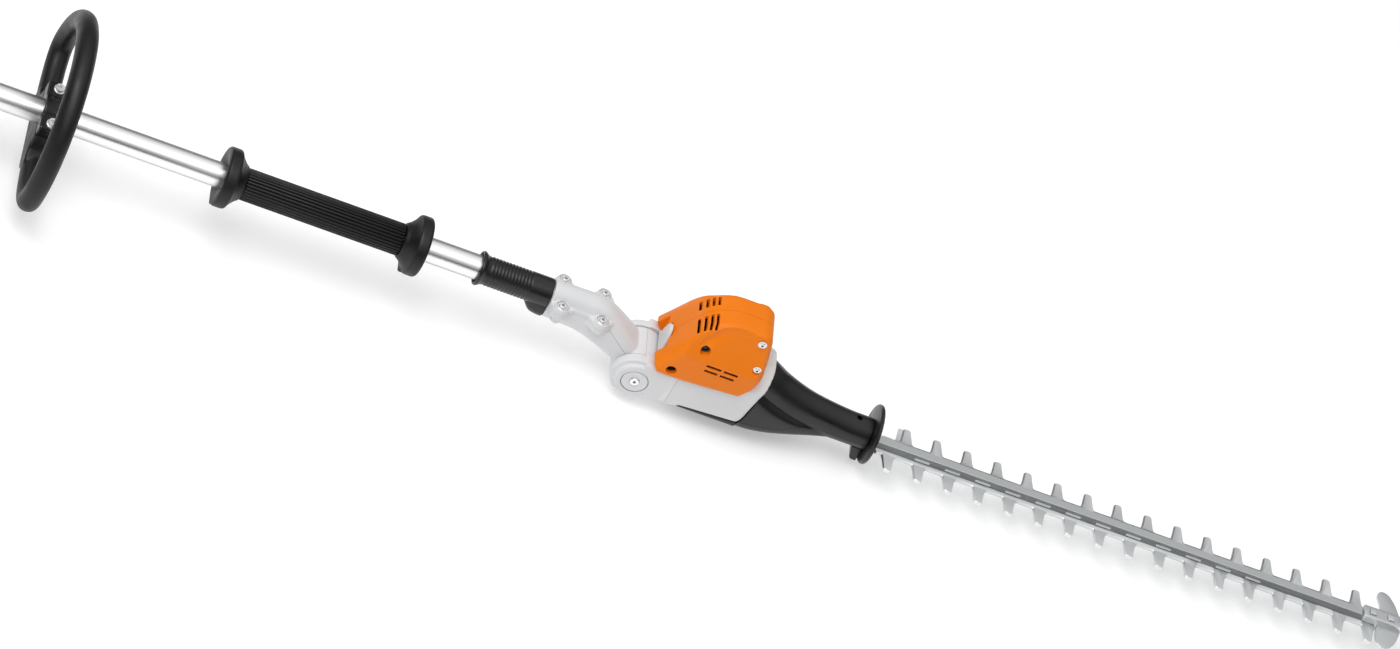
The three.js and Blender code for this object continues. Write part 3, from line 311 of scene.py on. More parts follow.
class Finish:
    """A material with its node tree and short ways to add nodes."""

    def __init__(self, name, roughness, metallic=0.0, **sockets):
        self.material = bpy.data.materials.new(name)
        self.material.use_nodes = True
        self.tree = self.material.node_tree
        self.shader = self.tree.nodes["Principled BSDF"]
        self.shader.inputs["Roughness"].default_value = roughness
        self.shader.inputs["Metallic"].default_value = metallic
        for socket, value in sockets.items():
            self.shader.inputs[socket.replace("_", " ")].default_value = value
        self.place = self.node("ShaderNodeTexCoord").outputs["Object"]

    def node(self, kind, **values):
        made = self.tree.nodes.new(kind)
        for key, value in values.items():
            setattr(made, key, value)
        return made

    def link(self, source, target):
        self.tree.links.new(source, target)

    def feed(self, socket, source):
        self.link(source, self.shader.inputs[socket])

    def noise(self, scale, stretch=(1, 1, 1), detail=3.0, rough=0.6):
        mapping = self.node("ShaderNodeMapping")
        mapping.inputs["Scale"].default_value = stretch
        self.link(self.place, mapping.inputs["Vector"])
        noise = self.node("ShaderNodeTexNoise")
        noise.inputs["Scale"].default_value = scale
        noise.inputs["Detail"].default_value = detail
        noise.inputs["Roughness"].default_value = rough
        self.link(mapping.outputs["Vector"], noise.inputs["Vector"])
        return noise.outputs["Fac"]

    def spread(self, source, low, high, start=0.3, stop=0.7):
        ranged = self.node("ShaderNodeMapRange")
        for socket, value in zip(("From Min", "From Max", "To Min", "To Max"), (start, stop, low, high)):
            ranged.inputs[socket].default_value = value
        self.link(source, ranged.inputs["Value"])
        return ranged.outputs["Result"]

    def mix(self, factor, first, second):
        """Mixes two colours, or node outputs, by a factor."""
        mixed = self.node("ShaderNodeMix", data_type="RGBA")
        self.link(factor, mixed.inputs["Factor"])
        for socket, value in ((mixed.inputs[6], first), (mixed.inputs[7], second)):
            if hasattr(value, "is_linked"):
                self.link(value, socket)
            else:
                socket.default_value = (*value, 1)
        return mixed.outputs[2]

    def bump(self, height, strength, distance, onto=None):
        bump = self.node("ShaderNodeBump")
        bump.inputs["Strength"].default_value = strength
        bump.inputs["Distance"].default_value = distance * MM
        self.link(height, bump.inputs["Height"])
        if onto is not None:
            self.link(onto, bump.inputs["Normal"])
        return bump.outputs["Normal"]

    def edges(self, start, stop):
        """High on the worn outer edges, from the mesh's own curvature."""
        return self.spread(self.node("ShaderNodeNewGeometry").outputs["Pointiness"], 0, 1, start, stop)


def tint(colour, by):
    return tuple(min(1, max(0, c * by)) for c in colour)


def plastic(name, colour, roughness, wear=1.25, **sockets):
    """Moulded nylon: fine spark texture, cloudy tone, scuffs that dull the sheen, lighter edges."""
    finish = Finish(name, roughness, **sockets)
    cloud = finish.spread(finish.noise(14, detail=4), 0, 1)
    body = finish.mix(cloud, tint(colour, 0.955), tint(colour, 1.035))
    worn = finish.mix(finish.edges(WEAR_START, 0.60), body, tint(colour, wear))
    finish.feed("Base Color", worn)
    scuffs = finish.noise(55, stretch=(0.35, 1, 1), detail=6, rough=0.7)
    finish.feed("Roughness", finish.spread(scuffs, roughness - 0.07, roughness + 0.09))
    fine = finish.bump(finish.noise(1500, detail=2), 0.25, 0.12)
    wave = finish.bump(finish.noise(90, detail=1), 0.12, 0.25, fine)
    finish.feed("Normal", wave)
    return finish.material


def rubber(name, colour, roughness):
    """Soft-touch rubber: pebbled skin, matt with greasy patches."""
    finish = Finish(name, roughness, Specular_IOR_Level=0.4)
    cloud = finish.spread(finish.noise(20, detail=5), 0, 1)
    body = finish.mix(cloud, tint(colour, 0.8), tint(colour, 1.25))
    dusty = finish.mix(finish.edges(WEAR_START, 0.62), body, tint(colour, 2.2))
    finish.feed("Base Color", dusty)
    greasy = finish.noise(40, detail=5)
    finish.feed("Roughness", finish.spread(greasy, roughness - 0.1, roughness + 0.12))
    cells = finish.node("ShaderNodeTexVoronoi")
    cells.inputs["Scale"].default_value = 1100
    finish.link(finish.place, cells.inputs["Vector"])
    finish.feed("Normal", finish.bump(cells.outputs["Distance"], 0.35, 0.12))
    return finish.material


def metal(name, colour, roughness, along, fineness, grain, stain, ruling=0.8, metallic=1.0):
    """Metal with lines of drawing or grinding, and faint smudges."""
    finish = Finish(name, roughness, metallic)
    lines = finish.noise(fineness, stretch=along, detail=4)
    smudge = finish.spread(finish.noise(18, detail=5), 0, 1)
    body = finish.mix(smudge, tint(colour, 1 - stain), tint(colour, 1 + stain / 3))
    ruled = finish.mix(finish.spread(lines, 0, 0.35), body, tint(colour, ruling))
    worn = finish.mix(finish.edges(WEAR_START, 0.58), ruled, tint(colour, 1.2))
    finish.feed("Base Color", worn)
    dull = finish.noise(fineness * 0.7, stretch=along, detail=3)
    finish.feed("Roughness", finish.spread(dull, roughness - 0.06, roughness + 0.08))
    finish.feed("Normal", finish.bump(lines, grain, 0.03))
    return finish.material


def windings(name, colour):
    """Lacquered wire, wound side by side, with painted shade darkening the grooves between turns."""
    finish = Finish(name, 0.3, 0.9)
    wave = finish.node("ShaderNodeTexWave", bands_direction="Z")
    wave.inputs["Scale"].default_value = 900
    finish.link(finish.place, wave.inputs["Vector"])
    # Darker in the grooves between the turns and lighter on their crests: painted shade and painted light.
    wound_groove_shade = finish.mix(wave.outputs["Fac"], tint(colour, 0.6), colour)
    finish.feed("Base Color", wound_groove_shade)
    finish.feed("Normal", finish.bump(wave.outputs["Fac"], 0.5, 0.2))
    return finish.material


def aluminium():
    """Drawn tube, satin, darker where it turns away."""
    made = metal("tube_aluminium", (0.84, 0.84, 0.85), 0.31, (0.6, 30, 30), 12, 0.03, 0.03, 0.93)
    made.node_tree.nodes["Principled BSDF"].inputs["Specular Tint"].default_value = (0.3, 0.3, 0.31, 1)
    return made


FINISHES = {
    "orange_plastic": plastic("orange_plastic", (0.88, 0.205, 0.001), 0.44, wear=1.12,
                              Specular_IOR_Level=0.26),
    "grey_plastic": plastic("grey_plastic", (0.70, 0.705, 0.715), 0.42, wear=1.1),
    "black_plastic": plastic("black_plastic", (0.0055, 0.0055, 0.006), 0.31, wear=2.2),
    "black_rubber": rubber("black_rubber", (0.0032, 0.0032, 0.0032), 0.46),
    "tube_aluminium": aluminium(),
    "blade_steel": metal("blade_steel", (0.78, 0.80, 0.80), 0.34, (55, 3, 3), 26, 0.1, 0.1),
    "bar_steel": metal("bar_steel", (0.56, 0.58, 0.58), 0.36, (1.5, 55, 55), 26, 0.12, 0.1),
    "bright_steel": metal("bright_steel", (0.84, 0.84, 0.85), 0.3, FINE_STEEL, 60, 0.06, 0.08, 0.9, 0.72),
    "dark_steel": metal("dark_steel", (0.34, 0.345, 0.35), 0.34, FINE_STEEL, 60, 0.1, 0.2),
    "motor_iron": metal("motor_iron", (0.16, 0.16, 0.17), 0.5, (3, 3, 700), 2, 0.5, 0.2),
    "copper_windings": windings("copper_windings", (0.62, 0.24, 0.1)),
    "white_nylon": plastic("white_nylon", (0.78, 0.75, 0.66), 0.38),
    "board_laminate": plastic("board_laminate", (0.02, 0.14, 0.05), 0.3),
}


def show(obj, name, node, sharp=38, finish=None):
    """obj is a visible piece that stands for a CAD node, and takes its finish and its body."""
    obj.name = obj.data.name = name
    finish = finish or SLOT_OF[node]
    obj.data.materials.clear()
    obj.data.materials.append(FINISHES[finish])
    obj.data.shade_smooth()
    obj.data.set_sharp_from_angle(angle=math.radians(sharp))
    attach(obj, BODY_OF[node])
    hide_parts(node)


# ---- camera, lights and floor ----
VIEW_PLACE = Vector((-2251.9, -6754.7, 6290.0))
VIEW_RIGHT = Vector((0.9134, 0.0610, 0.4025))
VIEW_AHEAD = Vector((0.2419, 0.7138, -0.6573))
LENS, SENSOR = 249.2, 36
FLOOR_REACH, FLOOR_DROP = 9, 0.0005


def make_camera():
    data = bpy.data.cameras.new("camera")
    data.lens, data.sensor_width = LENS, SENSOR
    data.clip_start, data.clip_end = 0.1, 100
    camera = bpy.data.objects.new("camera", data)
    back = -VIEW_AHEAD.normalized()
    right = (VIEW_RIGHT - back * VIEW_RIGHT.dot(back)).normalized()
    up = back.cross(right)
    axes = Matrix((right, up, back)).transposed().to_4x4()
    camera.matrix_world = Matrix.Translation(HINGE + VIEW_PLACE * MM) @ axes
    bpy.context.scene.collection.objects.link(camera)
    bpy.context.scene.camera = camera


def make_key_light():
    """A soft panel over the tool, pointed at its middle."""
    data = bpy.data.lights.new("key", "AREA")
    data.shape, data.size, data.size_y = "RECTANGLE", 3.4, 1.8
    data.energy = 78
    light = bpy.data.objects.new("key", data)
    place = Vector((-1.2, -1.0, 3.4))
    light.location = place
    light.rotation_euler = (-place).to_track_quat("-Z", "Y").to_euler()
    bpy.context.scene.collection.objects.link(light)


# Height on the sky and grey level there, between the dim floor line and the bright top.
SKY_LEVELS = ((0.3, 0.12), (0.48, 0.36), (0.66, 0.62))


def make_sky(scene):
    """A tented studio: dim near the floor line and bright overhead."""
    world = bpy.data.worlds.new("studio")
    scene.world = world
    world.use_nodes = True
    tree = world.node_tree
    place = tree.nodes.new("ShaderNodeTexCoord")
    split = tree.nodes.new("ShaderNodeSeparateXYZ")
    ramp = tree.nodes.new("ShaderNodeValToRGB")
    tree.links.new(place.outputs["Generated"], split.inputs["Vector"])
    tree.links.new(split.outputs["Z"], ramp.inputs["Fac"])
    tree.links.new(ramp.outputs["Color"], tree.nodes["Background"].inputs["Color"])
    steps = ramp.color_ramp.elements
    steps[0].position, steps[0].color = 0.08, (0.06, 0.06, 0.065, 1)
    steps[1].position, steps[1].color = 0.95, (0.95, 0.95, 0.95, 1)
    for position, level in SKY_LEVELS:
        steps.new(position).color = (level, level, level * 1.01, 1)


def make_studio():
    scene = bpy.context.scene
    scene.view_settings.view_transform = "Standard"
    make_sky(scene)
    make_key_light()

    floor_mesh = bpy.data.meshes.new("floor")
    corners = [(x, y, 0) for x, y in rectangle(-FLOOR_REACH, FLOOR_REACH, -FLOOR_REACH, FLOOR_REACH)]
    floor_mesh.from_pydata(corners, [], [(0, 1, 2, 3)])
    floor = bpy.data.objects.new("floor", floor_mesh)
    scene.collection.objects.link(floor)
    paper = Finish("paper", 0.9, Emission_Color=(1, 1, 1, 1), Emission_Strength=0.36)
    tone = paper.mix(paper.spread(paper.noise(3), 0, 1), (0.74, 0.74, 0.745), (0.76, 0.76, 0.76))
    paper.feed("Base Color", tone)
    floor_mesh.materials.append(paper.material)
    floor.location.z = -FLOOR_DROP


# ---- shaft, loop handle and grip ----
def make_tube():
    chamfer, length = 0.4, TUBE_FRONT - TUBE_REAR
    profile = [(0, TUBE_BORE_R), (0, TUBE_R - chamfer), (chamfer, TUBE_R), (length - chamfer, TUBE_R),
               (length, TUBE_R - chamfer), (length, TUBE_BORE_R)]
    show(turned(profile, (TUBE_REAR, 0, SHAFT_Z), (1, 0, 0), 128, True), "bare_tube", "shaft_tube")


def on_loop(obj):
    """Turns a piece drawn round the shaft's axis to the loop's place and lean."""
    place = Matrix.Translation(HINGE + Vector((LOOP_X, 0, SHAFT_Z)) * MM)
    obj.data.transform(place @ Matrix.Rotation(LOOP_TURN, 4, "X") @ Matrix.Translation(-HINGE))
    return obj


def loop_point(turn):
    c, s = math.cos(turn), math.sin(turn)
    power, reach = (1.03, LOOP_TOP) if s >= 0 else (0.64, LOOP_BASE)
    return Vector((0, LOOP_HALF_WIDTH * math.copysign(abs(c) ** power, c),
                   reach * math.copysign(abs(s) ** power, s)))


def make_loop():
    steps, sides, gap, ahead_by = 240, 48, 0.05, 0.02
    rings = []
    for i in range(steps + 1):
        turn = -math.pi / 2 + gap + (2 * math.pi - 2 * gap) * i / steps
        here = loop_point(turn)
        ahead = (loop_point(turn + ahead_by) - loop_point(turn - ahead_by)).normalized()
        side = ahead.cross(Vector((1, 0, 0)))
        rings.append([here + side * LOOP_R * math.cos(t) + Vector((LOOP_R * math.sin(t), 0, 0))
                      for t in turns(sides)])
    foot = symmetric([(44, -42), (46, -24), (31, -17), (29, -GAP)])
    base = slab(rounded(foot, 3), "X", -CLAMP_HALF, CLAMP_HALF, 2)
    loop = moulded(join(skin(rings), base), 1.1, 10)
    loop = cut(loop, rod(SEAT_R, (-20, 0, 0), (20, 0, 0), 64), block(-20, 20, -32, 32, -GAP, 14),
               *[rod_z(2.6, 0, y, -16, 5, 24) for y in CLAMP_SCREWS])
    show(on_loop(loop), "loop_grip", "loop_handle")

    arch = cut(rod(18, (-CLAMP_HALF, 0, 0), (CLAMP_HALF, 0, 0), 96, 1), block(-20, 20, -40, 40, -40, GAP))
    pads = slab(rounded(rectangle(-29, 29, GAP, 13.5), 3), "X", -CLAMP_HALF, CLAMP_HALF, 1.4)
    cap = moulded(join(arch, pads), 0.6, 6)
    cap = cut(cap, rod(SEAT_R, (-20, 0, 0), (20, 0, 0), 64), block(-20, 20, -40, 40, -5, GAP),
              *[rod_z(2.6, 0, y, -1, 30, 24) for y in CLAMP_SCREWS],
              *[rod_z(6.3, 0, y, 13.4, 30) for y in CLAMP_SCREWS])
    show(on_loop(cap), "loop_clamp", "loop_clamp_cap")

    for side, y in zip(("right", "left"), CLAMP_SCREWS):
        washer = turned([(0, 2.3), (0, 5.4), (0.2, 5.6), (1.0, 5.6), (1.2, 5.4), (1.2, 2.3)],
                        (0, y, 13.8), (0, 0, 1), 64, True)
        head = turned([(0, 0), (0, 2.2), (28.9, 2.2), (28.9, 4.6), (32.2, 4.6), (32.8, 4.0), (32.8, 0)],
                      (0, y, -14), (0, 0, 1), 64)
        screw = cut(join(head, washer), socket((0, y, 16.4), (0, 0, 1), 2.5, 4))
        show(on_loop(screw), f"loop_cap_screw_{side}", f"loop_screw_{side}")


def socket(place, direction, radius, depth):
    """The six-lobed recess of a screw head."""
    turn = Vector((0, 0, 1)).rotation_difference(Vector(direction))
    rings = []
    for w in (0, depth):
        ring = []
        for t in turns(72):
            r = radius * (0.84 + 0.16 * math.cos(6 * t))
            ring.append(Vector(place) + turn @ Vector((r * math.cos(t), r * math.sin(t), w)))
        rings.append(ring)
    return skin(rings)


def make_grip():
    rings = []
    per_flute = 10
    for x, shrink in ((GRIP_REAR, 1.2), (GRIP_REAR + 1.5, 0), (GRIP_FRONT - 1.5, 0), (GRIP_FRONT, 1.2)):
        ring = []
        for k, t in enumerate(turns(FLUTES * per_flute)):
            phase = math.cos(math.pi * k / per_flute) ** 2
            r = GRIP_R - shrink - 1.6 * phase ** 3
            ring.append((x, r * math.cos(t), SHAFT_Z + r * math.sin(t)))
        rings.append(ring)
    show(cut(skin(rings), rod_x(SEAT_R, -600, -100, 96)), "fluted_grip", "grip_sleeve", sharp=50)

    foot = symmetric([(11, SHAFT_Z - 31.2), (16, SHAFT_Z - 24), (16, SHAFT_Z - 18)])
    flanges = (
        ("rear", [(-434, 0), (-434, 17.4), (-437, 19.4), (-441, 23.6), (-443.6, 27.2), (-444.6, 29.4),
                  (-445.4, 30), (-447, 30.4), (-451, FLANGE_R), (-454, FLANGE_R), (-455.6, FLANGE_R),
                  (-457.2, 29), (-458, 26), (-457.4, 21), (-456, 17), (-454.6, 15.2), (-454.6, 0)],
         (-457, -443.5)),
        ("front", [(-268, 0), (-268, 17.4), (-264, 20), (-260, 24), (-257.4, 27.8), (-256.4, 29.7),
                   (-255, 30.3), (-253, FLANGE_R), (-247, FLANGE_R), (-245.4, 30), (-244.1, 28.4),
                   (-244.4, 22), (-246.5, 15.5), (-246.5, 0)], (-259, -245.5)),
    )
    for side, profile, (x0, x1) in flanges:
        ring = turned(profile, (0, 0, SHAFT_Z), (1, 0, 0), 128)
        tab = slab(rounded(foot, 3), "X", x0, x1, 1.5)
        seam = block(x0 - 1, x1 + 1, -20, 20, SHAFT_Z - 25.4, SHAFT_Z - 24.6)
        flange = cut(moulded(join(ring, tab), 0.6, 3), rod_x(SEAT_R, -600, -100, 96),
                     meet(seam, rim_band(x0, x1)))
        show(flange, f"grip_stop_{side}", f"grip_{side}_flange")


def rim_band(x0, x1):
    """The outermost layer of a flange, in which its split line is cut."""
    whole = rod_x(FLANGE_R + 6, x0 - 2, x1 + 2, 96)
    return cut(whole, rod_x(FLANGE_R - 4, x0 - 3, x1 + 3, 96))


def make_sleeve():
    profile = [(SLEEVE_REAR, 0), (SLEEVE_REAR, 16.6), (-186.4, 17.5), (-184.5, 17.7), (-182.6, 16.6),
               (-181, 15.3), (-178, 14.5), (-176.5, 14.3)]
    span = 42 / SLEEVE_RINGS
    for i in range(SLEEVE_RINGS):
        x = -176 + i * span
        profile += [(x + 0.1, 14.7), (x + 0.45, 15), (x + 1.9, 15), (x + 2.25, 14.7), (x + 2.35, 14.2),
                    (x + span - 0.1, 14.2)]
    profile += [(-133.6, 15), (-112, 15), (SLEEVE_FRONT, 14.6), (SLEEVE_FRONT, 0)]
    body = turned(profile, (0, 0, SHAFT_Z), (1, 0, 0), 128)
    chin = loft([(-133, 8, SHAFT_Z - 4, SHAFT_Z - 14.6, 2.2), (-125, 13, SHAFT_Z, 18.5, 2.4),
                 (-118, 14.2, SHAFT_Z, 16.2, 2.4), (SLEEVE_FRONT, 14.4, SHAFT_Z, 15.6, 2.4)])
    tongue = slab(rectangle(-3, 3, 18.4, 23), "X", -116, -99.5)
    sleeve = moulded(join(body, chin, tongue), 0.5, 3)
    cone = turned([(-188, 0), (-188, 16.2), (-182, 13), (-182, 0)], (0, 0, SHAFT_Z), (1, 0, 0), 96)
    bore = rod_x(TUBE_R + 0.4, -200, -105, 96)
    show(cut(sleeve, bore, cone), "unlocking_sleeve", "sliding_sleeve")


# ---- bracket and hinge ----
def bracket_body():
    near = [(-109.6, -16.5), (-106, -24), (-100, -26.5), (-94, -25.5), (-88.5, -20.5), (-85, -16.5),
            (-69, -16.5), (-65, -21), (-60, -26), (-53.5, -26.5), (-48, -22.5), (-44, -16.5)]
    flange = slab(near + [(x, -y) for x, y in reversed(near)], "Z", 34.5, 46.4, 1.5)
    arm = loft([
        (-110, 16, 58, 15.5, 2.1), (-92, 16.2, 58, 14, 2.1), (-74, 16.5, 58, 12.8, 2.15),
        (-62, 17, 57.4, 9.8, 2.3), (-50, 17.3, 54, 6.2, 2.6), (-38, 17.8, 47, 1.5, 2.8),
        (-28, 18.5, 39.5, -2, 3.2), (-9, 19.3, 24.5, -12, 4)], 96, 80)
    barrel = slab(circle(BARREL_R, 96), "Y", -BARREL_HALF + GAP, BARREL_HALF - GAP, 1.2)
    parts = [flange, barrel]
    for name, (x, y) in BRACKET_SCREWS.items():
        parts.append(rod_z(7.6, x, y, 38, 48.9, 48, 0.5))
        if name.startswith("rear"):
            parts.append(rod_z(5.2, x, y, 27.5, 40, 48, 0.6))
    return join(arm, *parts)


def latch_line(radius, start, end):
    slope = math.radians(14)
    along = Vector((-math.cos(slope), 0, math.sin(slope)))
    return rod(radius, along * start, along * end, 32)


def make_bracket():
    whole = moulded(bracket_body(), 0.75, 14)
    cable_way = loft([(-63, 9, 52, 34, 2), (-30, 7, 24, 16, 2), (-12, 6, 13, 5, 2)], 32, 20)
    cutters = [rod_x(SEAT_R, -140, TUBE_FRONT + GAP, 96), cable_way,
               latch_line(3.2, 14.5, 106), latch_line(4.8, 58.5, 84),
               block(-112, -86, -3.4, 3.4, 17.9, 25.4),
               rod_y(8.08, 0, 0, -30, 30, 96), rod_y(14.5, 0, 0, -6.4, 6.4, 96)]
    for x, y in BRACKET_SCREWS.values():
        cutters += [rod_z(2.6, x, y, 31, 60, 24), rod_z(6.2, x, y, 47, 60)]
    whole = cut(whole, *cutters)
    lower_line = [(-113, SHAFT_Z - GAP), (-50.2, SHAFT_Z - GAP), (-31.2, 27.2), (-0.2, 2.6), (GAP, 2.6),
                  (GAP, 80), (-113, 80)]
    upper_line = [(-112, SHAFT_Z), (-50, SHAFT_Z), (-31, 27.5), (0, 3), (0, 80), (-112, 80)]
    lower = cut(copy(whole), slab(lower_line, "Y", -40, 40))
    upper = meet(whole, slab(upper_line, "Y", -40, 40))
    show(largest(upper), "bracket_shell_upper", "bracket_upper")
    show(largest(lower), "bracket_shell_lower", "bracket_lower")

    for name, (x, y) in BRACKET_SCREWS.items():
        head = turned([(0, 0), (0, 2.2), (15.8, 2.2), (15.8, 5.4), (16.1, 5.6), (16.9, 5.6), (17.2, 5.3),
                       (17.2, 4.1), (16.7, 3.9), (16.7, 3.6), (18.9, 3.5), (19.2, 3.2), (19.2, 0)],
                      (x, y, 31.5), (0, 0, 1), 64)
        screw = cut(head, socket((x, y, 46), (0, 0, 1), 2.0, 6))
        show(screw, f"bracket_bolt_{name}", f"bracket_screw_{name}")


def largest(obj):
    """Drops loose slivers, keeping the main body of the mesh."""
    bm = bmesh.new()
    bm.from_mesh(obj.data)
    seen, groups = set(), []
    for first in bm.verts:
        if first in seen:
            continue
        seen.add(first)
        group = [first]
        for here in group:
            for edge in here.link_edges:
                other = edge.other_vert(here)
                if other not in seen:
                    seen.add(other)
                    group.append(other)
        groups.append(group)
    smallest_kept = 0.2 * max(len(group) for group in groups)
    loose = [vert for group in groups if len(group) < smallest_kept for vert in group]
    bmesh.ops.delete(bm, geom=loose, context="VERTS")
    bm.to_mesh(obj.data)
    bm.free()
    return obj


def fork_block(x, z):
    """The fork's closed part, as far forward as x, where its underside is at z."""
    side = [(-2, -17.8), (12, -16.5), (x, z), (x, 26.3), (-2, 26.3)]
    return slab(rounded(side, 2), "Y", -HEAD_HALF, HEAD_HALF, 4)


def make_hinge():
    ears = join(slab(circle(BARREL_R, 96), "Y", -29, 29, 1.6),
                slab(circle(20.5, 96), "Y", -EAR_HALF, EAR_HALF, 2.4))
    body = meet(fork_block(52, -14.5), block(2, 52, -40, 40, -40, 40))
    leaf = symmetric([(16, 20), (15, 30), (12.5, 41), (8, 50.5), (3, 56)])
    tongue = slab(rounded(leaf, 4), "X", 12, 15.6, 1)
    fork = moulded(join(ears, body), 0.8, 7)
    bridge = slab([(29.5, -11), (29.5, 22), (30.5, 22), (30.5, -11)], "Y", -30, 30)
    fork = join(cut(fork, block(30, 60, -50, 50, -50, 50)), bridge)
    front = meet(fork_block(80, -13), block(29.9, 37, -40, 40, -40, 26.3))
    fork = join(fork, front, tongue)
    half = BARREL_HALF + 0.6
    arm = slab([(0, 0), (11.7, 24), (11.7, 40), (11.7, 60), (-70, 60), (-70, -40), (-30, -30)],
               "Y", -half, half)
    cutters = [rod_y(BARREL_R + 3, 0, 0, -half, half, 96), arm, block(20, 40, -26, 26, -10, 18),
               block(5, 25, -18, 18, -8, 19.5),
               rod_y(8.3, 0, 0, -31.4, 31.4, 64), rod_y(14.1, 0, 0, -40, -31.2, 96),
               rod_y(3.4, 0, 0, -33.4, 33.3, 32)]
    show(largest(cut(fork, *cutters)), "fork_shell", "hinge_fork")

    cap = turned([(0, 5), (0, 12.9), (0.5, 13.1), (1.9, 13.1), (2.4, 12.6), (2.4, 5.6), (2.0, 5)],
                 (0, -31.5, 0), (0, -1, 0), 128, True)
    show(cap, "hinge_cover_disc", "hinge_cap")
    bolt = turned([(-64.6, 0), (-64.6, 2.7), (-64.3, 3), (0, 3), (0, 4.6), (2.0, 4.6), (2.5, 4.2),
                   (2.5, 0)], (0, -32.1, 0), (0, -1, 0), 64)
    show(cut(bolt, socket((0, -28.0, 0), (0, -1, 0), 1.9, 8)), "hinge_bolt_fine", "hinge_bolt")


# ---- gear housing, covers and neck ----
def make_housing():
    outline = rounded([
        (20, -16.1), (50.2, -14.6), (51.6, -11.6), (112, -7.2), (115.2, -1), (120, 33), (125, 57),
        (122.6, 69), (118, 73), (112.9, 72), (110.7, 60), (105.2, 43.6), (97.5, 31.2), (37.3, 26.3),
        (20, 25)], 3)
    wide = slab(outline, "Y", -HEAD_HALF, HEAD_HALF, 4)
    shoulder = symmetric([(40, -40), (40, 30), (34, 40), (26, 50), (12, 59)])
    outer = moulded(meet(wide, slab(rounded(shoulder, 4), "X", 0, 140)), 0.9, 6)
    outer = meet(outer, block(37.3, 140, -60, 60, -60, 90))
    cutters = [block(41, 111, -30.5, 30.5, -6, 20), block(54, 108, -27, 27, -12, 0),
               block(100, 135, -12, 12, -5.4, 10.4), block(30, 42, -20, 20, -6, 14),
               rod_z(11.3, GEAR_X, 0, 19, 26.4), rod_z(6.2, MOTOR_X, 0, 15, 40)]
    show(largest(cut(outer, *cutters)), "housing_shell", "gear_housing")

    along = [(50.6, -17.4), (54, -19.4), (112, -17.4), (112.3, -7.7), (51.9, -12.0), (50.6, -14.9)]
    across = [(-32, -7), (-32, -13), (-26, -19.4), (26, -19.4), (32, -13), (32, -7)]
    belly = meet(slab(rounded(along, 0.8), "Y", -31.9, 31.9, 1), slab(rounded(across, 2), "X", 40, 130))
    show(belly, "belly_cover", "underside_cover")


COVER_TOP = [
    (-2, 20), (7, 33), (16.3, 52.4), (24.7, 65.6), (32.7, 82), (38, 90), (44.9, 96.2), (60.7, 103.6),
    (70, 104.6), (94, 104.4), (101, 102), (104.6, 97), (110, 74), (116, 48), (130, -20), (-2, -20)]
COVER_SIDE = [(-20, -40), (-6, 16), (8, 38.5), (35, 86.5), (60, 103.4), (99, 104), (124, 20), (140, -40)]
COVER_WALL = 2.6
# Screw, its x and z, radius of its boss and of its well, y of the well's floor, height of its cup: a dark
# lining up the deep well that paints the shade in it, 0 where there is none.
COVER_SCREWS = (
    ("middle", 45.5, 69, 7.4, 5.2, -22.6, 5.6), ("rear", 24.5, 34.5, 7, 5.4, -20, 12.5),
    ("front_upper", 94.6, 95, 6.5, 4.7, -24, 0), ("front_lower", 101.2, 68, 6, 4.7, -31.5, 0))


def cover_body(shrink):
    half = 37.5 - shrink
    body = slab(rounded(inset(COVER_SIDE, shrink), 8), "Y", -half, half, 11, 15, 6)
    band = slab(rounded(inset(COVER_TOP, shrink), 4), "Y", -20.5 + shrink, 20.5 - shrink, 1.6)
    return cut(join(body, band), scoop(shrink), mirrored(scoop(shrink)))


# The ledge under the top band: x, then y and z of its inner and of its outer edge.
LEDGE = [
    (33, -34, 74, -37, 70), (39, -28.5, 74.5, -31.8, 70.5), (45, -25.8, 80.5, -30, 74),
    (52, -23.8, 88.5, -28.3, 79.5), (58, -22.6, 95, -26.5, 85), (68, -22, 99.5, -24.8, 91),
    (87, -21.5, 104, -22.7, 101.5)]


def scoop(i):
    """What is taken off one shoulder: a slope up the side and a ledge under the top band, moved in by i."""
    slope = slab([(-60, 58 - i), (-37.5 + i, 58 - i), (-31.5 + i, 72 - i), (-25 + i, 90 - i),
                  (-21.5 + i, 112), (-60, 112)], "X", -20, 140)
    rings = []
    for x, y0, z0, y1, z1 in LEDGE:
        rings.append([(x, y0 + i, z0 - i), (x, y1 + i, z1 - i), (x, -60, z1 - i - (60 + y1)),
                      (x, -60, 125), (x, y0 + i, 125)])
    return join(slope, skin(rings))


def mirrored(obj):
    """The piece reflected to the tool's other side."""
    flip = Matrix.Translation(HINGE) @ Matrix.Scale(-1, 4, (0, 1, 0)) @ Matrix.Translation(-HINGE)
    obj.data.transform(flip)
    obj.data.flip_normals()
    return obj


def cover_region(i):
    """What the gear housing leaves to the cover, seen from the side and moved in by i."""
    return slab([
        (-6 + i, 52), (7.5 + i, 32.5), (12.2 + i, 26.6 + i), (37, 26.6 + i), (97.2 - i, 31.5 + i),
        (104.8 - i, 43.7 + i), (110.4 - i, 60.2), (112.5 - i, 72.4), (113.5 - i, 80), (113.5 - i, 120),
        (-6 + i, 120)], "Y", -50, 50)


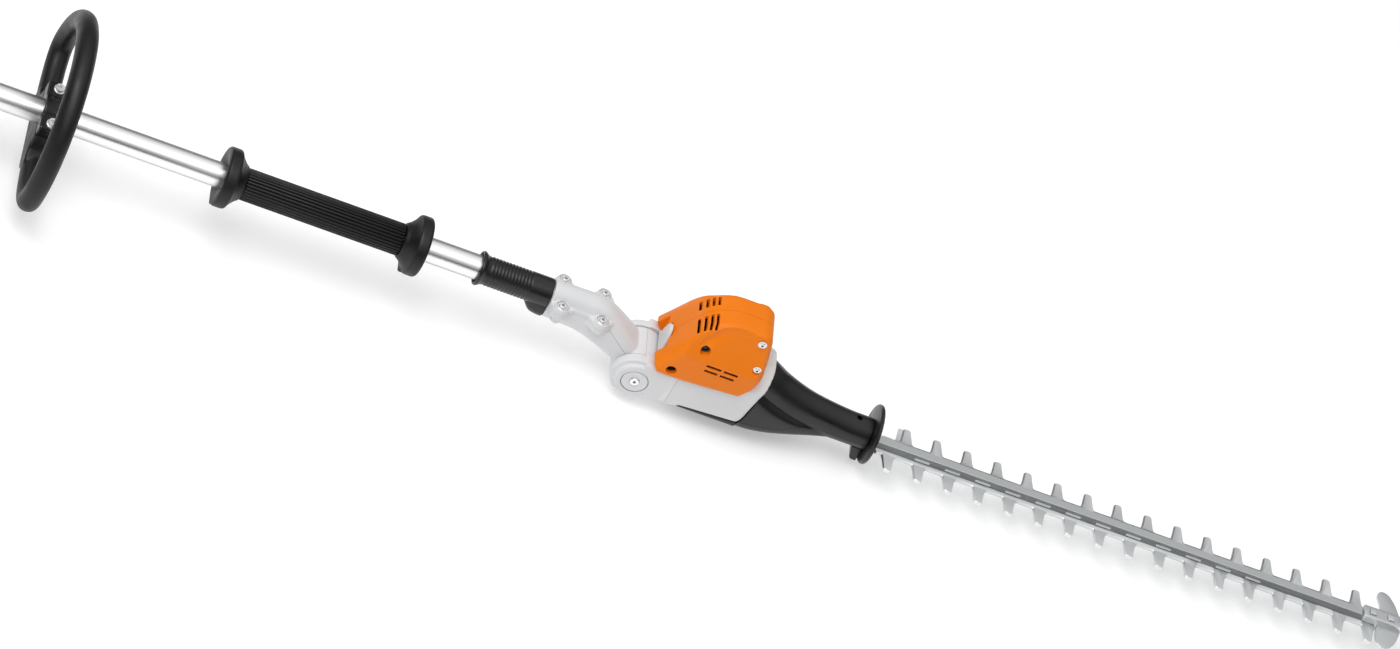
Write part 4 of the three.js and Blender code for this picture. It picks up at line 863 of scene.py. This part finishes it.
def make_covers():
    outer = moulded(cover_body(0), 0.75, 22)
    leaf = symmetric([(17.2, 10), (16.2, 30.4), (13.7, 41.4), (9, 51.4), (3.5, 57.2)])
    notch = join(slab(leaf, "X", -10, 16.5), block(-10, 14, -20.6, 20.6, 10, 54))
    outer = cut(meet(outer, cover_region(0)), notch)
    inner = cut(meet(cover_body(COVER_WALL), cover_region(COVER_WALL)),
                join(block(-10, 19.1, -19, 19, 10, 60), block(-10, 16.6, -23.2, 23.2, 10, 56.6)))
    opening = slab(rectangle(21, 95, 20, 40), "Y", -31, 31)
    bosses = join(*[rod_y(boss, x, z, -40, -0.4) for _, x, z, boss, *_ in COVER_SCREWS])
    bosses = meet(join(bosses, mirrored(copy(bosses))), copy(outer))
    bosses = cut(bosses, rod_z(22, MOTOR_X, 0, 20, 73, 64), rod_z(19.4, MOTOR_X, 0, 70, 86, 64))
    thinned = block(51, 89, -36.3, -28, 45, 59)
    fan_room = rod_z(19.3, MOTOR_X, 0, 70.6, 80.3, 96)
    whole = cut(join(cut(outer, inner, opening), bosses), *cover_vents(), thinned,
                mirrored(copy(thinned)), fan_room)
    right = cut(copy(whole), block(-50, 200, -SPLIT, 60, -50, 200),
                *[rod_y(well, x, z, -50, y, 64) for _, x, z, _, well, y, _ in COVER_SCREWS], *cover_holes())
    left = cut(whole, block(-50, 200, -60, SPLIT, -50, 200), *cover_holes())
    show(largest(right), "cover_shell_right", "motor_cover_right")
    show(largest(left), "cover_shell_left", "motor_cover_left")
    # Screws in deep wells, and the cups that line those wells, take dark steel as painted shade; the others
    # take bright steel.
    for name, x, z, _, well, y, shade_cup in COVER_SCREWS:
        seat, flange = y - GAP, well - GAP
        rim = [(shade_cup, flange), (shade_cup, flange - 0.5)] if shade_cup else [(0.8, flange)]
        head = turned([(seat - 7.5, 0), (seat - 7.5, 1.9), (0, 1.9), (0, flange - 0.1), (0.2, flange), *rim,
                       (1.0, flange - 0.5), (1.0, 2.9), (1.9, 2.8), (2.2, 2.4), (2.3, 0)],
                      (x, seat, z), (0, -1, 0), 64)
        show(cut(head, socket((x, seat + 3, z), (0, -1, 0), 1.7, 8)), f"cover_bolt_{name}",
             f"cover_screw_{name}", finish="dark_steel" if shade_cup else "bright_steel")


def cover_holes():
    return [rod_y(2.1, x, z, -50, 8, 32) for _, x, z, *_ in COVER_SCREWS]


def cover_vents():
    """Four slots across each side of the top, and four along each flank."""
    vents = []
    for i in range(4):
        x = 31.3 + i * 4.5
        for y0, y1 in ((-24.5, -5), (7, 19)):
            vents.append(slab(rounded(rectangle(x, x + 2.6, y0, y1), 0.9), "Z", 72 + 4 * i, 120))
    for x0, x1, z in ((53, 69, 55.5), (71.5, 86.5, 55.5), (53.5, 67.5, 48.8), (70, 85, 48.8)):
        for y0, y1 in ((-50, -20), (20, 50)):
            vents.append(slab(rounded(rectangle(x0, x1, z - 1.6, z + 1.6), 0.9), "Y", y0, y1))
    return vents


def blade_way(x):
    """The passage of bar and blades from x to beyond the guard disc."""
    return block(x, 260, -11.4, 11.4, -5.2, 10.2)


def make_neck():
    centre = loft([
        (108, 27, 57, -14, 2.6), (127, 24, 52, -14, 2.4), (147, 21, 42, -12, 2.2),
        (173, 18, 32.8, -10, 2.1), (197, NECK_R, 28, -8.8, 2.1), (222, NECK_R, 25.2, -8.6, 2.0),
        (NECK_FRONT, NECK_R, NECK_Z + NECK_R, NECK_Z - NECK_R, 2)], 96, 110)
    skirt = loft([
        (104, 33.6, 47, -19, 4.6), (124, 33, 32, -18.5, 4.4), (145, 29.5, 21, -17, 3.8),
        (168, 24, 13, -13.5, 3), (190, 17.5, 10, -10, 2.6), (206, 13, 8, -8, 2.2)], 96, 90)
    front = slab([(112.8, -40), (112.8, -7.2), (115.5, -1), (120.3, 33), (125.3, 57), (126, 80), (260, 80),
                  (260, -40)], "Y", -60, 60)
    body = meet(moulded(join(centre, skirt), 0.8, 6), front)
    passage = join(blade_way(100),
                   loft([(110, 22, 46, 8, 2.6), (128, 20, 42, 8, 2.6), (165, 13.5, 28, 8, 2.4),
                         (190, 11.4, 20, 8, 2.4)], 32, 30))
    body = cut(body, passage)
    line = [(100, -5), (150, -3), (178, 6), (270, 6)]
    below = slab(line + [(270, -60), (100, -60)], "Y", -60, 60)
    lifted = slab([(x, z + GAP) for x, z in line] + [(270, -60), (100, -60)], "Y", -60, 60)
    upper = cut(copy(body), lifted, rod_z(3, 229.5, 0, 15, 60))
    lower = meet(body, below)
    tab = slab([(234, -4), (238.5, -20), (240.5, -22), (246.1, -22.2), (246.1, -4)], "Y", -11, 11, 1)
    lower = join(lower, cut(tab, block(200, 260, -12, 12, -5.2, 20)))
    show(largest(upper), "neck_shell_upper", "neck_upper")
    show(largest(lower), "neck_shell_lower", "neck_lower")

    disc = turned([(0, 0), (0, GUARD_R - 2.2), (0.5, GUARD_R - 0.8), (1.4, GUARD_R), (3.4, GUARD_R),
                   (4.3, GUARD_R - 0.8), (4.8, GUARD_R - 2.2), (4.8, GUARD_R - 5), (4.2, GUARD_R - 6.5),
                   (4.2, 0)], (GUARD_X, 0, GUARD_Z), (1, 0, 0), 128)
    show(cut(disc, blade_way(240)), "guard_plate", "guard_disc")


# ---- cutter bar ----
def tooth(x, side, ground, edge):
    """One tooth's outline, its flanks drawn in by ground and its root by edge, as by grinding."""
    half = [(8.6, BLADE_BODY - edge), (7.0, 13.6 - edge * 0.7), (6.0, 16.4 - edge * 0.3), (4.9, 24),
            (4.3, 29), (3.9, 31 - edge * 0.3), (3.1, 32.1 - edge * 0.5), (1.6, TOOTH_TIP - edge * 0.5)]
    rear = ground * (1.5 if side > 0 else 0.5)
    behind = [(-u + min(rear, u * 0.4), v) for u, v in half]
    ahead = [(u - ground * 0.3, v) for u, v in reversed(half)]
    return [(x + u, side * v) for u, v in behind + ahead]


def blade_outline(shift, ground, edge):
    points = []
    for i in range(NEAR_TEETH):
        points += tooth(NEAR_TOOTH + i * PITCH, -1, ground, edge)
    points += [(BLADE_FRONT, -8), (BLADE_FRONT + 2.2, -4), (BLADE_FRONT + 3, 0), (BLADE_FRONT, BLADE_BODY)]
    far = []
    for i in range(FAR_TEETH):
        far += tooth(FAR_TOOTH + i * PITCH - (shift if i == 0 else 0), 1, ground, edge)
    points += far[::-1]
    points += [(266, BLADE_BODY), (258, 9), (106, 9), (103, 19), (57, 19), (55, 16), (55, -16), (57, -19),
               (103, -19), (106, -9), (256, -9), (259, -BLADE_BODY)]
    return points


def make_blades():
    for name, z, shift in (("upper", UPPER_Z, 0), ("lower", LOWER_Z, 5)):
        plain, started = blade_outline(shift, 0, 0), blade_outline(shift, 0.5, 0)
        ground = blade_outline(shift, 1, 1.4)
        top, bottom = z + BLADE_THICK, z
        layers = ((bottom, plain), (top - 1.3, plain), (top - 0.62, started), (top, ground))
        if name == "lower":
            layers = ((bottom, ground), (bottom + 0.62, started), (bottom + 1.3, plain), (top, plain))
        blade = skin([[(x, y, w) for x, y in outline] for w, outline in layers])
        slots = [slab(rounded(rectangle(x - 9.5, x + 9.5, -2.7, 2.7), 2.6), "Z", -9, 9) for x in POSTS]
        window = block(58.5, 99.5, -15.4, 15.4, -10, 10)
        show(cut(blade, window, *slots), f"{name}_cutter", f"{name}_blade", sharp=25)

    bar = slab(rounded([(-7.4, 1.7), (7.4, 1.7), (4.4, 7), (-4.4, 7)], 0.25, 1), "X", 128, 790)
    posts = [rod_z(2.3, x, 0, -4.6, 3, 32) for x in POSTS]
    facet = [(-9, 1.75), (-6.95, 2.45), (-4.8, 3.4), (-5.0, 5.9), (-9, 6.4)]
    slots = [slab(facet, "X", 299 + i * PITCH, 315 + i * PITCH) for i in range(12)]
    show(cut(join(bar, *posts), *slots), "bar_rail", "guide_bar", sharp=25)


def make_tip():
    lobes = slab(rounded([
        (808, -8), (805, -22), (807, -33), (814, -39), (821, -36), (828, -26), (832, -13), (834, -5),
        (834, 5), (832, 14), (827, 28), (820, 38), (813, 40), (808, 36), (807, 29), (811, 18), (808, 8)],
        5, 5), "Z", 1.8, 4.4, 0.35)
    cap = slab(rounded(rectangle(-7.9, 7.9, 1.6, 10.2), 1, 3), "X", 791, 834, 0.4)
    strap = block(815, 834, -7.4, 7.4, -5.2, 2)
    tongue = block(809.5, 834, -7.4, 7.4, -5.2, -3.3)
    wells = [block(x - 4.1, x + 4.1, -4.1, 4.1, 9.3, 12) for x in RIVETS]
    tip = cut(join(cap, lobes, strap, tongue), *wells,
              *[rod_z(2.5, x, 0, -6, 12, 32) for x in RIVETS])
    show(tip, "tip_shield", "tip_guard", sharp=25)
    for name, x, z in zip(("rear", "front"), RIVETS, (1.9, -5)):
        square = rectangle(x - 3.4, x + 3.4, -3.4, 3.4)
        head = slab(rounded(square, 1), "Z", 9.5, 12, 0.5)
        show(join(head, rod_z(2.1, x, 0, z, 11, 32)), f"tip_pin_{name}", f"tip_rivet_{name}")


# ---- rear control handle and battery ----
CASE_BACK = [
    (-1030, 80), (-1046, 86), (-1200, 86), (-1212, 78), (-1214, 60), (-1214, 4), (-1208, -14), (-1196, -24),
    (-1090, -34), (-1050, -34)]
CASE_OUTLINE = [(-1020, 6), (-1018, 62), *CASE_BACK, (-1030, -24)]
HANDLE_OUTLINE = [
    (-796, 24), (-796, 60), (-806, 64), (-836, 63), (-850, 60.5), (-1000, 60.5), (-1016, 64), *CASE_BACK,
    (-1020, -31), (-860, -31), (-832, -26), (-816, -8), (-806, 16)]
FINGER_GAP = [
    (-858, 23.5), (-1006, 23.5), (-1014, 17), (-1014, -10), (-1006, -17), (-862, -17), (-848, -10),
    (-846, 14), (-850, 20)]
FINGER_WALL = [
    (-854, 26.5), (-1009, 26.5), (-1017, 19), (-1017, -12), (-1008, -20), (-860, -20), (-845, -12),
    (-843, 15), (-847, 22)]
SHELL_SCREWS, REAR_WALL = ((-832, 6), (-1040, 70)), 3
TRIGGER_PIVOT, LEVER_PIVOT = (-891, 26), (-868.5, 57.2)
PACK_REAR, PACK_FRONT, PACK_HALF, PACK_LOW, PACK_HIGH = -1213, -1086, 36, -10, 52


def rear_body(shrink):
    handle = rounded(inset(HANDLE_OUTLINE, shrink), 5)
    case = rounded(inset(CASE_OUTLINE, shrink), 5)
    return join(slab(handle, "Y", -SHELL_HALF + shrink, SHELL_HALF - shrink, 7, 8, 6),
                slab(case, "Y", -CASE_HALF + shrink, CASE_HALF - shrink, 6, 8, 6))


def case_vents():
    """Slanted cooling slots through both sides of the case, over the control board."""
    cutters = []
    for i in range(5):
        x = -1050 - i * 9
        slot = rounded([(x, 6), (x + 3.4, 6), (x + 11.4, 44), (x + 8, 44)], 1.5)
        cutters += [slab(slot, "Y", -60, -34), slab(slot, "Y", 34, 60)]
    return cutters


def grip_grooves():
    """Shallow grooves along the rear handle, where the palm lies."""
    palm = block(-1000, -922, -30, 30, 25, 60)
    core = slab([(-1010, 22), (-1010, 59), (-910, 59), (-910, 22)], "Y", -SHELL_HALF + 1, SHELL_HALF - 1)
    bands = [block(-1010, -910, -30, 30, z, z + 1.6) for z in (31, 36, 41, 46, 51)]
    return cut(meet(join(*bands), palm), core)


def battery_bay(by):
    """The room of the battery, open to the rear and larger by the given distance."""
    return block(-1240, PACK_FRONT + by, -PACK_HALF - by, PACK_HALF + by, PACK_LOW - by, PACK_HIGH + by)


def make_rear_shells():
    outer = moulded(rear_body(0), 1.2, 12)
    cavity = cut(rear_body(REAR_WALL), slab(FINGER_WALL, "Y", -60, 60), battery_bay(REAR_WALL))
    nose = meet(rod_x(16.5, TUBE_REAR - 4, -797, 64), rear_body(REAR_WALL))
    posts = [meet(rod_y(5.4, x, z, -CASE_HALF, CASE_HALF, 32), copy(outer)) for x, z in SHELL_SCREWS]
    seat = rod_x(SEAT_R, TUBE_REAR - GAP, -790, 96)
    cutters = [
        slab(rounded(FINGER_GAP, 5), "Y", -60, 60), battery_bay(GAP), rod_x(4, -870, -840, 32),
        block(-934, -886, -6.4, 6.4, 18, 34), block(-912, -858, -6.4, 6.4, 52, 70),
        block(-1096, -1060, -15.4, 15.4, 12, 40),
        block(-1196, -1156, -9.4, 9.4, 50, 96)]
    pivots = [rod_y(1.95, x, z, -11.3, 11.3, 24) for x, z in (TRIGGER_PIVOT, LEVER_PIVOT)]
    whole = join(cut(outer, cavity), nose, *posts)
    whole = cut(whole, seat, *cutters, *pivots, grip_grooves(), *case_vents())
    shanks = [rod_y(2, x, z, -60, 9, 24) for x, z in SHELL_SCREWS]
    heads = [rod_y(4.2, x, z, -60, -12) for x, z in SHELL_SCREWS]
    left = cut(copy(whole), block(-1300, 0, -60, SPLIT, -60, 120), *[copy(shank) for shank in shanks])
    right = cut(whole, block(-1300, 0, -SPLIT, 60, -60, 120), *shanks, *heads)
    show(largest(right), "handle_shell_right", "rear_shell_right")
    show(largest(left), "handle_shell_left", "rear_shell_left")
    for name, (x, z) in zip(("front", "rear"), SHELL_SCREWS):
        head = turned([(-8, 0), (-8, 1.6), (12.4, 1.6), (12.4, 3.4), (12.7, 3.6), (14.4, 3.5), (15, 2.8),
                       (15, 0)], (x, 0, z), (0, -1, 0), 48)
        screw = cut(head, socket((x, -13.4, z), (0, -1, 0), 1.7, 3))
        show(screw, f"handle_bolt_{name}", f"shell_screw_{name}")


def make_controls():
    x, z = TRIGGER_PIVOT
    blade = slab(rounded([(-884, 16.5), (-890, 10), (-900, 7), (-914, 9), (-926, 16), (-932, 26),
                          (-931, 29.5), (-888, 29.5)], 3), "Y", -5.9, 5.9, 1.6)
    grooves = [block(-929 + i * 8, -926.6 + i * 8, -4, 4, 2, 8.6 + abs(i - 3) * 2.2) for i in range(6)]
    trigger = cut(blade, *grooves, rod_y(1.7, x, z, -10, 10, 32))
    show(trigger, "finger_trigger", "trigger")
    x, z = LEVER_PIVOT
    lever = slab(rounded([(-873, 53.2), (-880, 56.5), (-904, 57.6), (-909, 62), (-906, 66), (-900, 66),
                          (-866, 61.2), (-862, 57), (-868, 53.2)], 2), "Y", -5.9, 5.9, 1.4)
    ridges = [block(-900 + i * 5, -898.2 + i * 5, -8, 8, 64.9 - i * 0.7, 70) for i in range(6)]
    show(cut(lever, *ridges, rod_y(1.7, x, z, -10, 10, 32)), "lock_off_lever", "lockout_lever")


def make_battery():
    section = [(-36, -2), (-28, -10), (28, -10), (36, -2), (36, 44), (28, 52), (-28, 52), (-36, 44)]
    body = slab(rounded(section, 3), "X", PACK_REAR, PACK_FRONT, 2)
    rails = [block(-1190, -1080, y0, y1, 14, 22) for y0, y1 in ((-40, -33.5), (33.5, 40))]
    ribs = [block(PACK_REAR - 2, PACK_REAR + 0.9, -26, 26, z, z + 2.2) for z in (2, 8, 30, 36, 42)]
    terminals = block(-1110, PACK_FRONT + 5, -12, 12, 14, 38)
    show(cut(body, *rails, *ribs, terminals), "battery_case", "battery_pack")
    button = join(slab(rounded(rectangle(-1192, -1160, 76, 90), 2), "Y", -9, 9, 1.2),
                  block(-1186, -1164, -9, 9, 55.3, 77))
    ridges = [block(-1188 + i * 5, -1186 + i * 5, -12, 12, 89.1, 95) for i in range(6)]
    show(cut(button, *ridges), "battery_button", "battery_latch")


def plain_nodes():
    """CAD pieces whose shape is right keep it and get the finish of their slot."""
    for node, slot in SLOT_OF.items():
        obj = frame["nodes"][node]
        obj.data.materials.clear()
        obj.data.materials.append(FINISHES[slot])


make_camera()
make_studio()
plain_nodes()
make_tube()
make_loop()
make_grip()
make_sleeve()
make_bracket()
make_hinge()
make_housing()
make_covers()
make_neck()
make_blades()
make_tip()
make_rear_shells()
make_controls()
make_battery()
